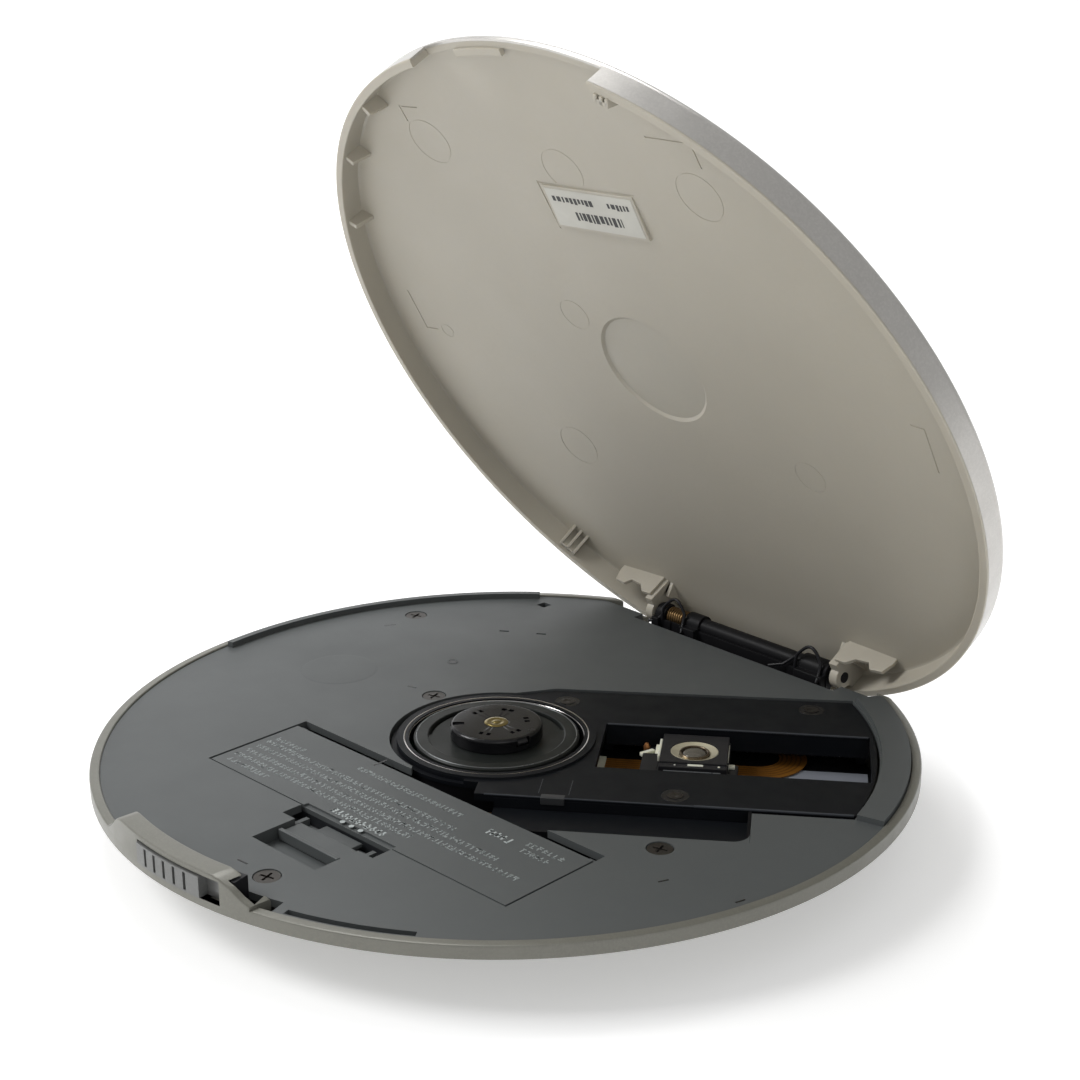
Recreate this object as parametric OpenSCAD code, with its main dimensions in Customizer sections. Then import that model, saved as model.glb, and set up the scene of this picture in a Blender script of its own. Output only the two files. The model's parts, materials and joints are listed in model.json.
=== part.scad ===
// Slim portable disc player, lid open. Millimetres, +Z up, origin on the ground under the
// middle of the round case. The lid hinge is at +Y, the open switch at -Y, the controls at -X.

/* [Case] */
// Radius of the round case and of the lid
shell_r = 65.5; // [64:0.5:68]
// Height of the deck's upper face above the ground
deck_z = 10.2; // [10:0.1:12]
// Radius of the deck plate
deck_r = 63.9; // [63:0.1:64]
// Thickness of the deck plate
deck_t = 1.2; // [1:0.1:1.5]
// Upright depth of the thin rim at the front
rim_depth = 1.6; // [1:0.1:2]
// Radius of the flat underside
pod_r = 54.5; // [52:0.5:55]
// Distance of the flat rear wall from the middle of the case
rear_y = 56.3; // [56:0.1:57]
// Height of the rubber feet
foot_h = 0.6; // [0.4:0.1:0.8]

/* [Lid] */
// Angle between the closed and the open lid
lid_open = 60; // [0:1:60]
// Height of the lid's side wall
lid_wall_h = 5.2; // [4.8:0.1:5.5]
// Height of the domed lid in the middle
lid_top_h = 7.7; // [7:0.1:8]
// Thickness of the lid, skin and liner together
lid_t = 1; // [0.9:0.1:1.2]
// Thickness of the outer skin
skin_t = 0.4; // [0.3:0.1:0.5]

/* [Drive] */
// Sideways place of the spindle
spindle_x = -0.9; // [-1:0.1:0]
// Lengthways place of the spindle
spindle_y = -1.4; // [-1.5:0.1:0]
// Radius of the turntable
table_r = 13.3; // [13:0.1:13.5]
// Radius of the hub that centres the disc
hub_r = 7.4; // [7.3:0.05:7.45]
// Height of the hub above the deck
hub_h = 2.3; // [2:0.1:2.5]
// Angle of the pickup's track from +X
slot_angle = 39.6; // [36:0.1:42]
// Distance of the lens from the spindle
lens_u = 31.8; // [24:0.1:54]

/* [Battery] */
// Length of the flat rechargeable cell
cell_l = 67; // [66:0.1:67]
// Width of the cell
cell_w = 17; // [16:0.1:17]
// Thickness of the cell
cell_t = 6.1; // [5.9:0.1:6.1]
// Angle of the battery door from +X
door_angle = 3.3; // [0:0.1:4]

/* [Controls] */
// Radius of the headphone socket's bore
jack_r = 1.8; // [1.75:0.01:1.85]
// Travel of the press buttons
press = 0.6; // [0.4:0.1:0.8]

/* [Hidden] */

big = 200;
smooth = 96;          // facets on the large hulled discs
part_fn = 48;         // facets on small rounds
$fn = part_fn;

floor_t = 1.1;
floor_z = foot_h + floor_t;
deck_under = deck_z - deck_t;
pod_a = [0, 12];      // middle of the flat underside
pod_b = [-14, 10];    // its second middle, towards the controls
case_wall = 1.7;
rim_top = deck_z + 0.3;
spindle = [spindle_x, spindle_y];

hinge_y = rear_y + 0.1;
hinge_z = deck_z + 0.9;
arm_x = [-21.6, 22.4];
arm_t = 1.7;
shaft_r = 0.95;
run_gap = 0.06;       // radial clearance of shafts in their bores

switch_from = -92.8;  // open slide, degrees about the middle of the case
switch_to = -80.2;
switch_travel = 2.8;
housing_r = 62.2;
housing_top = deck_z + 3.8;

door_mid = [7.6, -28.75];
door_half = 32.8;
door_front = -9.3;
door_rear = 7.9;
door_axis_y = 8.6;
door_axis_z = deck_z - 1.25;
cell_x0 = -41.8;
cell_y0 = -9.25;
cell_top = deck_under - 0.05;
cell_z0 = cell_top - cell_t;

fixings = [[9.5, 15.2], [50, 17], [30, -17.6]]; // dampers and screws of the chassis, in track axes
chassis_top = deck_z - 0.2;
chassis_t = 1.2;
table_gap = 0.8;      // black gap round the turntable
plate_r = 16.9;       // round end of the drive's plate
collar_r = 16;        // raised collar round the turntable
collar_h = 1.26;
slot_u = [17, 59.3];    // ends of the pickup's window from the spindle
slot_v = [-9.3, 7.1]; // sides of the window across the track
bush_r = 1.95;
rail_z = 5.6;
rail_v = -11;
screw_v = 11;
rail_r = 0.8;
rail_end = 59.8;
post_u = [17.2, 58.2]; // posts along the track
sled_half = 5.5;
skirt_z = 6.4;

gear_m = 0.3;         // module of the feed gears
pinion_n = 9;
gear_n = 18;
gear_u = 14.3;
gear_w = 1.4;
pinion_gap = gear_m * (pinion_n + gear_n) / 2 + 0.04;

jack_a = 141;         // places round the wall, degrees
dc_a = 150;
hold_a = 158.5;
play_a = 167.5;
stop_a = 175;
vol_up_a = 182.5;
vol_down_a = 190;
key_z = 5.9;
key_w = 6.4;
key_h = 2.8;

screws = [[-52, 22.9], [-20.1, 1.3], [43.7, -9.6], [12.8, -55]];

// ---- places ----------------------------------------------------------------

module at_spindle(z = 0) translate([spindle[0], spindle[1], z]) children();

module on_track(z = 0) at_spindle(z) rotate([0, 0, slot_angle]) children();

module on_door(z = 0) translate([door_mid[0], door_mid[1], z]) rotate([0, 0, door_angle]) children();

module at_wall(a, z = 0) rotate([0, 0, a]) translate([0, 0, z]) children();

// Children are drawn as for the closed lid, with z = 0 at the hinge axis.
module in_lid()
    translate([0, hinge_y, hinge_z]) rotate([-lid_open, 0, 0]) translate([0, -hinge_y, 0]) children();

// ---- shared shapes ---------------------------------------------------------

module box(from, to) translate(from) cube(to - from);

// A ring sector: radii, angles from a0 to a1 and heights.
module sector(r0, r1, a0, a1, z0, z1)
    rotate([0, 0, a0]) translate([0, 0, z0])
        rotate_extrude(angle = a1 - a0, $fn = 180) translate([r0, 0]) square([r1 - r0, z1 - z0]);

// A bar with round ends along Y, pressed out along X.
module pill(x0, x1, w, h)
    for (s = [-1, 1]) {
        translate([x0, s * (w - h) / 2, 0]) rotate([0, 90, 0]) cylinder(d = h, h = x1 - x0);
        box([x0, -(w - h) / 2, -h / 2], [x1, (w - h) / 2, h / 2]);
    }

// A rod along X.
module rod(x0, x1, r) translate([x0, 0, 0]) rotate([0, 90, 0]) cylinder(r = r, h = x1 - x0);

// The bowl of the lower case: a thin rim over a smaller flat underside set to the rear and left.
module bowl(rim_r, rim_z0, rim_z1, low_r, low_z, edge)
    hull() {
        translate([0, 0, rim_z0]) cylinder(r = rim_r, h = rim_z1 - rim_z0, $fn = smooth);
        for (mid = [pod_a, pod_b], a = [0, 30, 60, 90])
            translate([mid[0], mid[1], low_z + edge * (1 - sin(a))])
                cylinder(r = low_r - edge * (1 - cos(a)), h = 0.02, $fn = smooth);
    }

module lug(p, z0, r) translate([p[0], p[1], z0]) cylinder(r = r, h = deck_under - z0);

// ---- base ------------------------------------------------------------------

module housing_side()
    translate([0, -55, 0]) rotate([90, 0, 0]) linear_extrude(12)
        polygon([[-15, deck_z - 1.4], [-15, deck_z + 0.3], [-9.5, housing_top], [13.5, housing_top],
                 [16.5, deck_z + 2.6], [19.6, deck_z + 0.8], [19.6, deck_z - 1.4]]);

module case_holes() {
    // deeper pocket under the cell
    on_door() box([cell_x0 - 0.2, cell_y0 - 0.15, cell_z0 - 0.1],
                  [cell_x0 + cell_l + 0.3, cell_y0 + cell_w + 0.15, big]);
    at_wall(jack_a, key_z) rod(shell_r - 6, shell_r + 2, 3);
    at_wall(dc_a, key_z) rod(shell_r - 6, shell_r + 2, 2.6);
    at_wall(hold_a, key_z) box([shell_r - 5, -4.6, -1.3], [shell_r + 2, 4.6, 1.3]);
    for (a = [play_a, stop_a, vol_up_a, vol_down_a])
        at_wall(a, key_z) pill(shell_r - 5, shell_r + 2, key_w + 0.5, key_h + 0.5);
}

module switch_holes() {
    // window in the front wall, and the channel behind it
    sector(63, shell_r + 1, switch_from - 0.3, switch_to + switch_travel + 0.3,
           deck_z - 0.55, deck_z + 3.05);
    sector(62.9, 64.5, -97, -73.4, deck_z - 0.75, deck_z + 3.15);
    sector(61, 64.55, -79.5, -72.4, deck_z - 0.65, deck_z + 3.25);
}

module lower_case() color("#9b9a8c") difference() {
    union() {
        difference() {
            intersection() {
                bowl(shell_r + 0.4, rim_top - rim_depth - 0.3, rim_top, pod_r, foot_h, 2);
                cylinder(r = shell_r, h = rim_top, $fn = smooth);
                box([-big, -big, 0], [big, rear_y, big]);
            }
            intersection() {
                bowl(62.2, deck_under - 0.4, deck_under + 0.1, pod_r - 1.4, floor_z, 1.2);
                cylinder(r = shell_r - case_wall, h = rim_top, $fn = smooth);
                box([-big, -big, 0], [big, rear_y - 1.6, big]);
            }
            translate([0, 0, deck_under]) cylinder(r = deck_r + 0.05, h = 5, $fn = smooth);
        }
        intersection() {
            difference() {
                cylinder(r = shell_r, h = housing_top, $fn = smooth);
                cylinder(r = housing_r, h = big, center = true, $fn = smooth);
            }
            housing_side();
        }
        for (p = [screws[0], screws[1], screws[2]]) lug(p, floor_z - 0.4, 2.1);
        lug(screws[3], deck_z - 5, 2.4);
    }
    switch_holes();
    case_holes();
    for (p = screws) translate([p[0], p[1], deck_z - 4]) cylinder(r = 0.86, h = 4);
    // hinge recess in the rear wall
    box([arm_x[0] - 1.8, 52.2, deck_z - 3.4], [arm_x[1] + 1.8, rear_y + 1, big]);
}

module rubber_feet() color("#3a3a3a")
    for (p = [[-42, 34], [30, 42], [-34, -22], [28, -22]])
        translate([p[0], p[1], 0]) cylinder(r = 4, h = foot_h);

// Opening in the deck over the drive, in track axes
module drive_opening() {
    circle(r = 17.2, $fn = smooth);
    intersection() {
        polygon([[0, -22.3], [0, 17], [7, 19.9], [57.7, 21.3], [66, 21.3], [66, -22.3]]);
        circle(r = 60.7, $fn = smooth);
    }
    translate([-11, -31.5]) square([52.6, 10]);
    translate([-11, -22]) square([11.5, 9]);
}

module door_opening() {
    translate([-door_half - 0.4, door_front - 0.3]) square([2 * door_half + 0.8, 19.5]);
    translate([-10, -13.1]) square([20.2, 5]);
    translate([-7.1, -20.9]) square([14.2, 9]);
}

// Tray under the finger pocket, in which the latch slides
module latch_tray() on_door() difference() {
    box([-7.9, -21.7, deck_z - 2.7], [7.9, -10.4, deck_under + 0.2]);
    box([-7.1, -20.9, deck_z - 2.1], [7.1, 0, big]);
}

module deck_plate() color("#595c5e") {
    deck_body();
    latch_tray();
}

module deck_body() difference() {
    union() {
        translate([0, 0, deck_under]) cylinder(r = deck_r, h = deck_t, $fn = smooth);
        // crescent ledge beyond the disc's edge, and the lip on the left rim
        difference() {
            sector(57, deck_r - 0.05, 17, 59.5, deck_z - 0.5, deck_z + 0.9);
            at_spindle(0) cylinder(r = 61, h = big, $fn = smooth);
        }
        sector(62.6, deck_r - 0.05, 133, 190.7, deck_z - 0.5, deck_z + 1);
        on_door() for (s = [-1, 1])
            box([s * 33.7 - 0.6, door_axis_y - 0.8, deck_z - 2.6],
                [s * 33.7 + 0.6, door_axis_y + 1.2, deck_z - 0.5]);
    }
    on_track() linear_extrude(big) drive_opening();
    on_door() linear_extrude(big) door_opening();
    on_door() translate([0, door_axis_y, door_axis_z]) rod(-34.5, 34.5, 0.5);
    box([-big, rear_y - 1.7, 0], [big, big, big]);
    box([arm_x[0] - 1.8, 52.2, 0], [arm_x[1] + 1.8, big, big]);
    sector(61, deck_r + 1, -79.5, -70.5, 0, big);
    sector(housing_r - 0.05, deck_r + 1, -104, -72, 0, big);
    // blind groove for the lid's lug, and the sensing hole
    sector(62.3, 63.4, -69, -52, deck_z - 0.8, big);
    box([-40.6, 43.2, 0], [-38.6, 45.2, big]);
    for (p = screws) translate([p[0], p[1], 0]) {
        translate([0, 0, deck_z - 0.8]) cylinder(r = 2.05, h = 2);
        cylinder(r = 1, h = big);
    }
    for (p = [[-34.5, 29.6], [-28.8, 33.6]])
        translate([p[0], p[1], 0]) rotate([0, 0, 39]) box([-0.9, -0.25, 0], [0.9, 0.25, big]);
}

// Cross-head screw, head up, top of the head at z = 0
module screw(head_r, head_h, shank_r, reach) difference() {
    union() {
        translate([0, 0, -head_h]) cylinder(r = head_r, h = head_h);
        translate([0, 0, -reach]) cylinder(r = shank_r, h = reach);
    }
    for (a = [20, 110])
        rotate([0, 0, a]) box([-head_r * 0.6, -0.2, -head_h / 2], [head_r * 0.6, 0.2, 1]);
}

module deck_screws() color("#3b342d")
    for (p = screws) translate([p[0], p[1], deck_z - 0.1]) screw(1.9, 0.65, 0.8, 3.4);

module main_board() color("#2f5d3a") translate([0, 0, 2.4]) linear_extrude(0.8) difference() {
    polygon([[-18, -14], [-42, -9], [-53, 2], [-55, 14], [-53, 28], [-46, 36], [-36, 44],
             [-18, 50], [6, 50], [6, 32], [-8, 22], [-20, 12]]);
    for (p = screws) translate(p) circle(r = 2.8);
}

module board_parts() color("#1d1d1f") {
    box([-40, 6, 3.2], [-28, 18, 4.3]);
    box([-32, 26, 3.2], [-23, 34, 4.2]);
    box([-12, 36, 3.2], [-4, 44, 4.2]);
    box([-46, 8, 3.2], [-43, 12, 5.2]);
    translate([-22, 26, 3.2]) cylinder(r = 3, h = 4.6);
    translate([-15, 31, 3.2]) cylinder(r = 2.4, h = 4);
}

module headphone_jack() color("#222224") at_wall(jack_a, key_z) difference() {
    union() {
        rod(shell_r - 5, shell_r - 0.1, 2.9);
        box([shell_r - 16, -3.4, -2.7], [shell_r - 5, 3.4, 2.5]);
    }
    rod(shell_r - 15, shell_r + 1, jack_r);
}

module dc_jack() color("#222224") at_wall(dc_a, key_z) {
    difference() {
        union() {
            rod(shell_r - 5, shell_r - 0.1, 2.5);
            box([shell_r - 12, -3, -2.7], [shell_r - 5, 3, 2.5]);
        }
        rod(shell_r - 10, shell_r + 1, 2);
    }
    rod(shell_r - 10.5, shell_r - 1.5, 0.5);
}

module key_switches() color("#c9c9c4")
    for (a = [play_a, stop_a, vol_up_a, vol_down_a]) at_wall(a, key_z) {
        box([57.2, -2.2, -2.7], [59.6, 2.2, 2]);
        rod(59.6, 60, 0.9);
    }

module lid_switch() color("#222224") box([-41.1, 42.4, 3.2], [-37.8, 45.6, 8.4]);

// ---- battery ---------------------------------------------------------------

// The walls round the cell stop on the case's inner face.
module battery_bay() color("#3c3d3f") intersection() {
    on_door() difference() {
        box([-44.4, cell_y0 - 0.9, floor_z], [29.4, 9.3, deck_z - 2.8]);
        box([-43.6, cell_y0 - 0.1, 0], [28.6, 8.5, big]);
    }
    bowl(62, deck_under - 0.4, deck_under, pod_r - 1.6, floor_z + 0.05, 1.2);
}

module battery_cell() color("#b9bcc0") on_door() {
    box([cell_x0, cell_y0, cell_z0], [cell_x0 + cell_l - 1, cell_y0 + cell_w, cell_top]);
    translate([0, cell_y0 + cell_w / 2, cell_z0 + cell_t / 2])
        rod(cell_x0 + cell_l - 1, cell_x0 + cell_l, 2.4);
}

module contact_spring() color("#c9c4b0") on_door()
    translate([-43.6, cell_y0 + cell_w / 2, cell_z0 + cell_t / 2]) rotate([0, 90, 0])
        for (i = [0:2]) translate([0, 0, 0.3 + 0.6 * i])
            rotate_extrude() translate([2.4 - 0.3 * i, 0]) circle(r = 0.29, $fn = 24);

module contact_plate() color("#c9b26b") on_door()
    box([cell_x0 + cell_l + 0.05, -4, cell_z0 + 1.6], [28.6, 3.5, cell_top - 0.5]);

module battery_door() color("#5c5f61") on_door() {
    difference() {
        union() {
            box([-door_half, door_front, deck_under], [door_half, door_rear, deck_z - 0.05]);
            for (s = [-1, 1])
                translate([s * (door_half - 0.75), 0, 0])
                    box([-0.75, door_rear - 0.4, deck_under], [0.75, door_axis_y, deck_z - 0.6]);
        }
        // step in the front edge over the latch
        box([-9.8, door_front - 1, deck_z - 0.4], [10, door_front + 0.8, big]);
    }
    translate([0, door_axis_y, door_axis_z]) for (s = [-1, 1]) {
        translate([s * (door_half - 0.75), 0, 0]) rod(-0.75, 0.75, 0.65);
        translate([s * (door_half + 0.6), 0, 0]) rod(-0.7, 0.7, 0.44);
    }
}

module door_latch() color("#6f7274") on_door() {
    box([-6.6, -16.6, deck_z - 1.9], [6.6, -12.4, deck_z - 0.7]);
    box([-6.6, -16.6, deck_z - 0.7], [6.6, -15.9, deck_z - 0.2]);
    box([-4, -12.5, deck_z - 1.9], [4, -9.7, deck_z - 1.3]);
}

// ---- disc drive ------------------------------------------------------------

// Sunken floor beside the plate, between the window and the battery door
module pocket_floor() difference() {
    union() {
        box([3, -31.2, chassis_top - 2.8], [41.3, -20.2, chassis_top - 2.1]);
        box([3, -20.9, chassis_top - 2.8], [41.3, -20.2, chassis_top - 0.5]);
    }
    rotate([0, 0, -slot_angle]) translate([-spindle[0], -spindle[1], 0])
        on_door() box([-big, -big, 0], [big, 10.4, big]);
}

module mechanism_chassis() color("#151518") on_track() difference() {
    union() {
        translate([0, 0, chassis_top - chassis_t]) linear_extrude(chassis_t) difference() {
            union() {
                circle(r = plate_r, $fn = smooth);
                intersection() {
                    polygon([[0, -20.8], [0, 16.6], [7, 19.3], [57.7, 20.7], [64, 20.7], [64, -20.8]]);
                    circle(r = 60.3, $fn = smooth);
                }
            }
            translate([slot_u[0], slot_v[0]]) square([slot_u[1] - slot_u[0], slot_v[1] - slot_v[0]]);
            for (p = fixings) translate(p) circle(r = 0.7);
        }
        translate([0, 0, chassis_top - 0.9]) cylinder(r = collar_r, h = collar_h, $fn = smooth);
        // posts that hold the guide shaft and the lead screw
        for (v = [rail_v, screw_v], u = post_u)
            box([u - 0.7, v - 1.45, rail_z - 1.4], [u + 0.7, v + 1.45, chassis_top - 0.5]);
        // skirt along the window's far side
        box([slot_u[0], slot_v[1], skirt_z], [slot_u[1], slot_v[1] + 0.5, chassis_top - 0.5]);
        pocket_floor();
    }
    // round hole for the turntable
    translate([0, 0, chassis_top - chassis_t - 0.3]) cylinder(r = table_r + table_gap, h = big, $fn = smooth);
    // sunken step round the outside of the collar
    sector(collar_r + 0.05, plate_r + 1, 100, 262, chassis_top - 0.6, big);
    for (v = [rail_v, screw_v])
        translate([0, v, rail_z]) rod(15, 62, rail_r + 0.05);
}

module chassis_dampers() color("#1b1b1b") on_track()
    for (p = fixings)
        translate([p[0], p[1], floor_z]) difference() {
            cylinder(r = 2.4, h = chassis_top - chassis_t - floor_z);
            translate([0, 0, 2]) cylinder(r = 0.9, h = big);
        }

module chassis_screws() color("#8d8d88") on_track()
    for (p = fixings)
        translate([p[0], p[1], chassis_top + 0.12]) screw(1.2, 0.1, 0.6, 2.4);

module motor_stator() color("#8a8f94") at_spindle(floor_z) {
    difference() {
        cylinder(r = 12, h = 1);
        cylinder(r = 1.4, h = 5, center = true);
    }
    // bearing sleeve, and nine coils on a thin core plate
    translate([0, 0, 1]) difference() {
        cylinder(r = 3, h = 5.2);
        cylinder(r = 0.82, h = big, center = true);
    }
    translate([0, 0, 2.6]) difference() {
        cylinder(r = 8.2, h = 0.4);
        cylinder(r = 2.5, h = big, center = true);
    }
    for (i = [0:8]) rotate([0, 0, i * 40]) box([4, -1.1, 1.4], [7.8, 1.1, 4.2]);
}

module guide_shaft() color("#c8c8c8")
    on_track(rail_z) translate([0, rail_v, 0]) rod(16, rail_end - 0.6, rail_r);

module sled_motor() color("#a8aaac") on_track() translate([0, screw_v + pinion_gap, rail_z])
    intersection() {
        rod(16.2, 27, 2.6);
        box([0, -5, -2], [40, 5, 2]);
    }

// Flat ribbon that turns back on itself under the sled
module flex_cable() color("#a8641e") on_track(3.9) {
    box([17, 2.2, 0], [41.6, 6.7, 0.15]);
    translate([41.5, 10.3, 0]) sector(3.6, 8.1, -90, 90, 0, 0.15);
    box([28, 13.9, 0], [41.6, 18.4, 0.15]);
}

module spindle_rotor() color("#77797c") at_spindle(floor_z + 4.6) difference() {
    cylinder(r = 10.6, h = 2.6);
    translate([0, 0, -1]) cylinder(r = 10, h = 3);
    cylinder(r = 0.74, h = big, center = true);
}

module spindle_shaft() color("#d0d0d0")
    at_spindle(floor_z + 0.2) cylinder(r = 0.74, h = deck_z + 1.6 - floor_z);

module turntable() color("#20262a") at_spindle() difference() {
    union() {
        translate([0, 0, floor_z + 7.2]) cylinder(r = 5, h = deck_z - 0.4 - floor_z - 7.2);
        translate([0, 0, deck_z - 0.7]) cylinder(r = table_r, h = 0.6, $fn = smooth);
        translate([0, 0, deck_z - 0.2]) difference() {
            cylinder(r = table_r, h = 0.5, $fn = smooth);
            cylinder(r = table_r - 1.6, h = 2, center = true, $fn = smooth);
        }
    }
    translate([0, 0, -1]) cylinder(r = 0.74, h = big);
}

module hub_cap() color("#101012") at_spindle(deck_z - 0.1) difference() {
    cylinder(r = hub_r, h = hub_h + 0.1, $fn = smooth);
    translate([0, 0, -1]) cylinder(r = bush_r + 0.02, h = big);
    // six small notches in the top, and three pockets for the claws
    for (i = [0:5]) rotate([0, 0, i * 60 - 3]) box([4.9, -0.6, hub_h - 0.5], [5.8, 0.6, big]);
    for (i = [0:2]) rotate([0, 0, i * 120 - 6]) box([5.2, -1.25, 1], [9, 1.25, hub_h - 0.3]);
}

module hub_claws() color("#1a1a1c") at_spindle(deck_z - 0.1)
    for (i = [0:2]) rotate([0, 0, i * 120 - 6]) intersection() {
        box([5.25, -1.2, 1.05], [9, 1.2, hub_h - 0.35]);
        cylinder(r = hub_r - 0.03, h = big, center = true, $fn = smooth);
    }

module centre_bush() color("#b08d3c") at_spindle(deck_z - 0.1) difference() {
    cylinder(r = bush_r, h = hub_h + 0.25);
    translate([0, 0, -1]) cylinder(r = 0.75, h = hub_h + 0.8);
}

// ---- optical sled ----------------------------------------------------------

module sled_base() color("#1f2023") on_track() translate([lens_u, 0, 0]) difference() {
    union() {
        box([-sled_half, -8.6, 4.5], [sled_half, 6.6, 8.1]);
        box([-3.2, -12.6, 4.2], [3.2, -8.6, 7]);
        box([-1, 6.6, 4.5], [3.4, 8, 6.2]);
        box([-8.4, -6.2, 4.9], [-5.4, 5.6, 7]);
    }
    translate([0, rail_v, rail_z]) rod(-9, 9, rail_r + run_gap);
}

module screw_follower() color("#d8d8d0") on_track() translate([lens_u, 0, 0])
    box([0.5, 8, 4.7], [3.3, 9.6, 6.2]);

module pickup_cover() color("#141416") on_track() translate([lens_u, 0, 8.15]) difference() {
    box([-5.3, -6, 0], [5.3, 6, 1.2]);
    translate([0, 0, -1]) cylinder(r = 3.9, h = 5);
}

module lens_holder() color("#c8b070") on_track() translate([lens_u, 0, 8.3]) difference() {
    cylinder(r = 3.6, h = 1);
    translate([0, 0, 0.3]) cylinder(r = 2.05, h = 5);
}

module objective_lens() color("#d7e6ee") on_track() translate([lens_u, 0, 8.62])
    rotate_extrude() intersection() {
        square([2, 1]);
        translate([0, -3.4]) circle(r = 4.2, $fn = 96);
    }

module lead_screw() color("#c4c4c4") on_track(rail_z) translate([0, screw_v, 0]) {
    rod(12.8, rail_end - 0.6, rail_r);
    for (i = [0:18]) rod(20 + 2 * i, 20.9 + 2 * i, 1.15);
}

// Spur gear about X: straight-sided teeth from the root to the tip circle
module spur(n, w, bore) rotate([90, 0, 90]) linear_extrude(w) difference() {
    union() {
        circle(r = gear_m * (n / 2 - 1.2));
        for (i = [0:n - 1]) rotate([0, 0, i * 360 / n])
            polygon([[0.3, -0.62 * gear_m * 1.2], [gear_m * (n / 2 - 1.2), -0.62 * gear_m * 1.2],
                     [gear_m * (n / 2 + 0.85), -0.32 * gear_m], [gear_m * (n / 2 + 0.85), 0.32 * gear_m],
                     [gear_m * (n / 2 - 1.2), 0.62 * gear_m * 1.2], [0.3, 0.62 * gear_m * 1.2]]);
    }
    circle(r = bore);
}

module screw_gear() color("#e6e2d6") on_track(rail_z) translate([gear_u - gear_w / 2, screw_v, 0])
    spur(gear_n, gear_w, rail_r + 0.02);

// The pinion's teeth sit half a pitch round, in mesh with the gear.
module motor_pinion() color("#b08d3c")
    on_track(rail_z) translate([gear_u - gear_w / 2, screw_v + pinion_gap, 0]) {
        rotate([180 + 180 / pinion_n, 0, 0]) spur(pinion_n, gear_w, 0.3);
        rod(-0.6, 1.85, 0.38);
    }

// ---- open switch -----------------------------------------------------------

module open_slide() color("#8f9192") {
    difference() {
        sector(63.2, shell_r + 0.35, switch_from, switch_to, deck_z - 0.35, deck_z + 2.85);
        for (i = [0:4])
            sector(shell_r - 0.1, shell_r + 1, switch_from + 1.8 + 2 * i, switch_from + 2.3 + 2 * i,
                   deck_z - 0.1, deck_z + 2.6);
    }
    sector(63.2, 64.2, -95.5, -78, deck_z - 0.5, deck_z + 2.9);
}

module latch_hook() color("#242426") difference() {
    sector(61.5, 64.2, -78, -74.6 - switch_travel + 1.8, deck_z - 0.5, deck_z + 2.9);
    sector(60, 62.6, -79, -77, deck_z + 1.2, deck_z + 2.2);
}

// ---- side controls ---------------------------------------------------------

module key(a) color("#8f9192") at_wall(a, key_z) {
    pill(61.6, shell_r + 0.6, key_w, key_h);
    box([60.7, -key_w / 2 - 0.6, -1.9], [61.6, key_w / 2 + 0.6, 1.9]);
}

module play_button() key(play_a);
module stop_button() key(stop_a);
module volume_up() key(vol_up_a);
module volume_down() key(vol_down_a);

module hold_switch() color("#8f9192") at_wall(hold_a, key_z) {
    box([62.4, -4.2, -1], [shell_r + 0.5, 0.2, 1]);
    box([61.4, -5.2, -1.7], [62.4, 1.2, 1.7]);
}

// ---- hinge -----------------------------------------------------------------

hinge_bores = [[-19.9, -18.2], [-12.8, -9.2], [14.6, 20.7]];

module hinge_bracket() color("#161618") difference() {
    union() {
        box([arm_x[0] + 1.4, 52.4, deck_z - 3.2], [arm_x[1] - 1.4, rear_y - 0.9, deck_z - 1.4]);
        for (b = hinge_bores) {
            translate([0, hinge_y, hinge_z]) rod(b[0], b[1], 2);
            box([b[0], 53.2, deck_z - 3], [b[1], rear_y - 0.2, hinge_z]);
        }
    }
    translate([0, hinge_y, hinge_z]) rod(-30, 30, shaft_r + 0.01);
}

module hinge_shaft() color("#2a2a2c")
    translate([0, hinge_y, hinge_z]) rod(arm_x[0] - 1, arm_x[1] + 1, shaft_r);

module torsion_spring() color("#7a5a34") translate([0, hinge_y, hinge_z]) {
    for (i = [0:7]) translate([-17.3 + 0.56 * i, 0, 0]) rotate([0, 90, 0])
        rotate_extrude($fn = 32) translate([1.5, 0]) circle(r = 0.25, $fn = 14);
    for (x = [-17.7, -13.08]) translate([x, -1.7, -2.2]) cylinder(r = 0.2, h = 3.5, $fn = 14);
}

// ---- lid -------------------------------------------------------------------

dome_steps = 14;

// Height of a shallow dome at radius r, from its top height, its edge radius and its edge height
function dome(r, top, edge_r, edge_h) = top - (top - edge_h) * (r / edge_r) ^ 2;

// Section of the lid's outer or inner face: a wall, a rounded corner and a dome
function lid_face(inset) = let (
        wall_r = shell_r - inset,
        corner = 1.4 - inset * 0.4,
        edge_h = lid_wall_h - inset,
        top_h = lid_top_h - inset,
        dome_r = wall_r - corner)
    concat([[wall_r, 0], [wall_r, edge_h - corner]],
        [for (a = [15:15:75]) [dome_r + corner * cos(a), edge_h - corner + corner * sin(a)]],
        [for (i = [0:dome_steps]) let (r = dome_r * (1 - i / dome_steps))
            [r, dome(r, top_h, dome_r, edge_h)]]);

module lid_bowl(inset, z0 = 0) rotate_extrude($fn = 180)
    intersection() {
        polygon(concat(lid_face(inset), [[0, 0]]));
        translate([0, z0]) square([big, big]);
    }

rim_in = 64.1;        // inner radius of the lid's thicker wall

module rim_ring(r, z0, z1) translate([0, 0, z0]) difference() {
    cylinder(r = r, h = z1 - z0, $fn = 180);
    cylinder(r = rim_in, h = big, center = true, $fn = 180);
}

// Notch in the front wall that clears the switch housing
module lid_notch() box([-16.4, -70, -1], [20.8, -60.6, 3.5]);

// Flat pad under the label
module label_place() translate([3.2, -34.3, 5.55]) children();

module lid_skin() color("#c4c4c2") in_lid() difference() {
    lid_bowl(0, 0.4);
    lid_bowl(skin_t);
    lid_notch();
}

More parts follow.
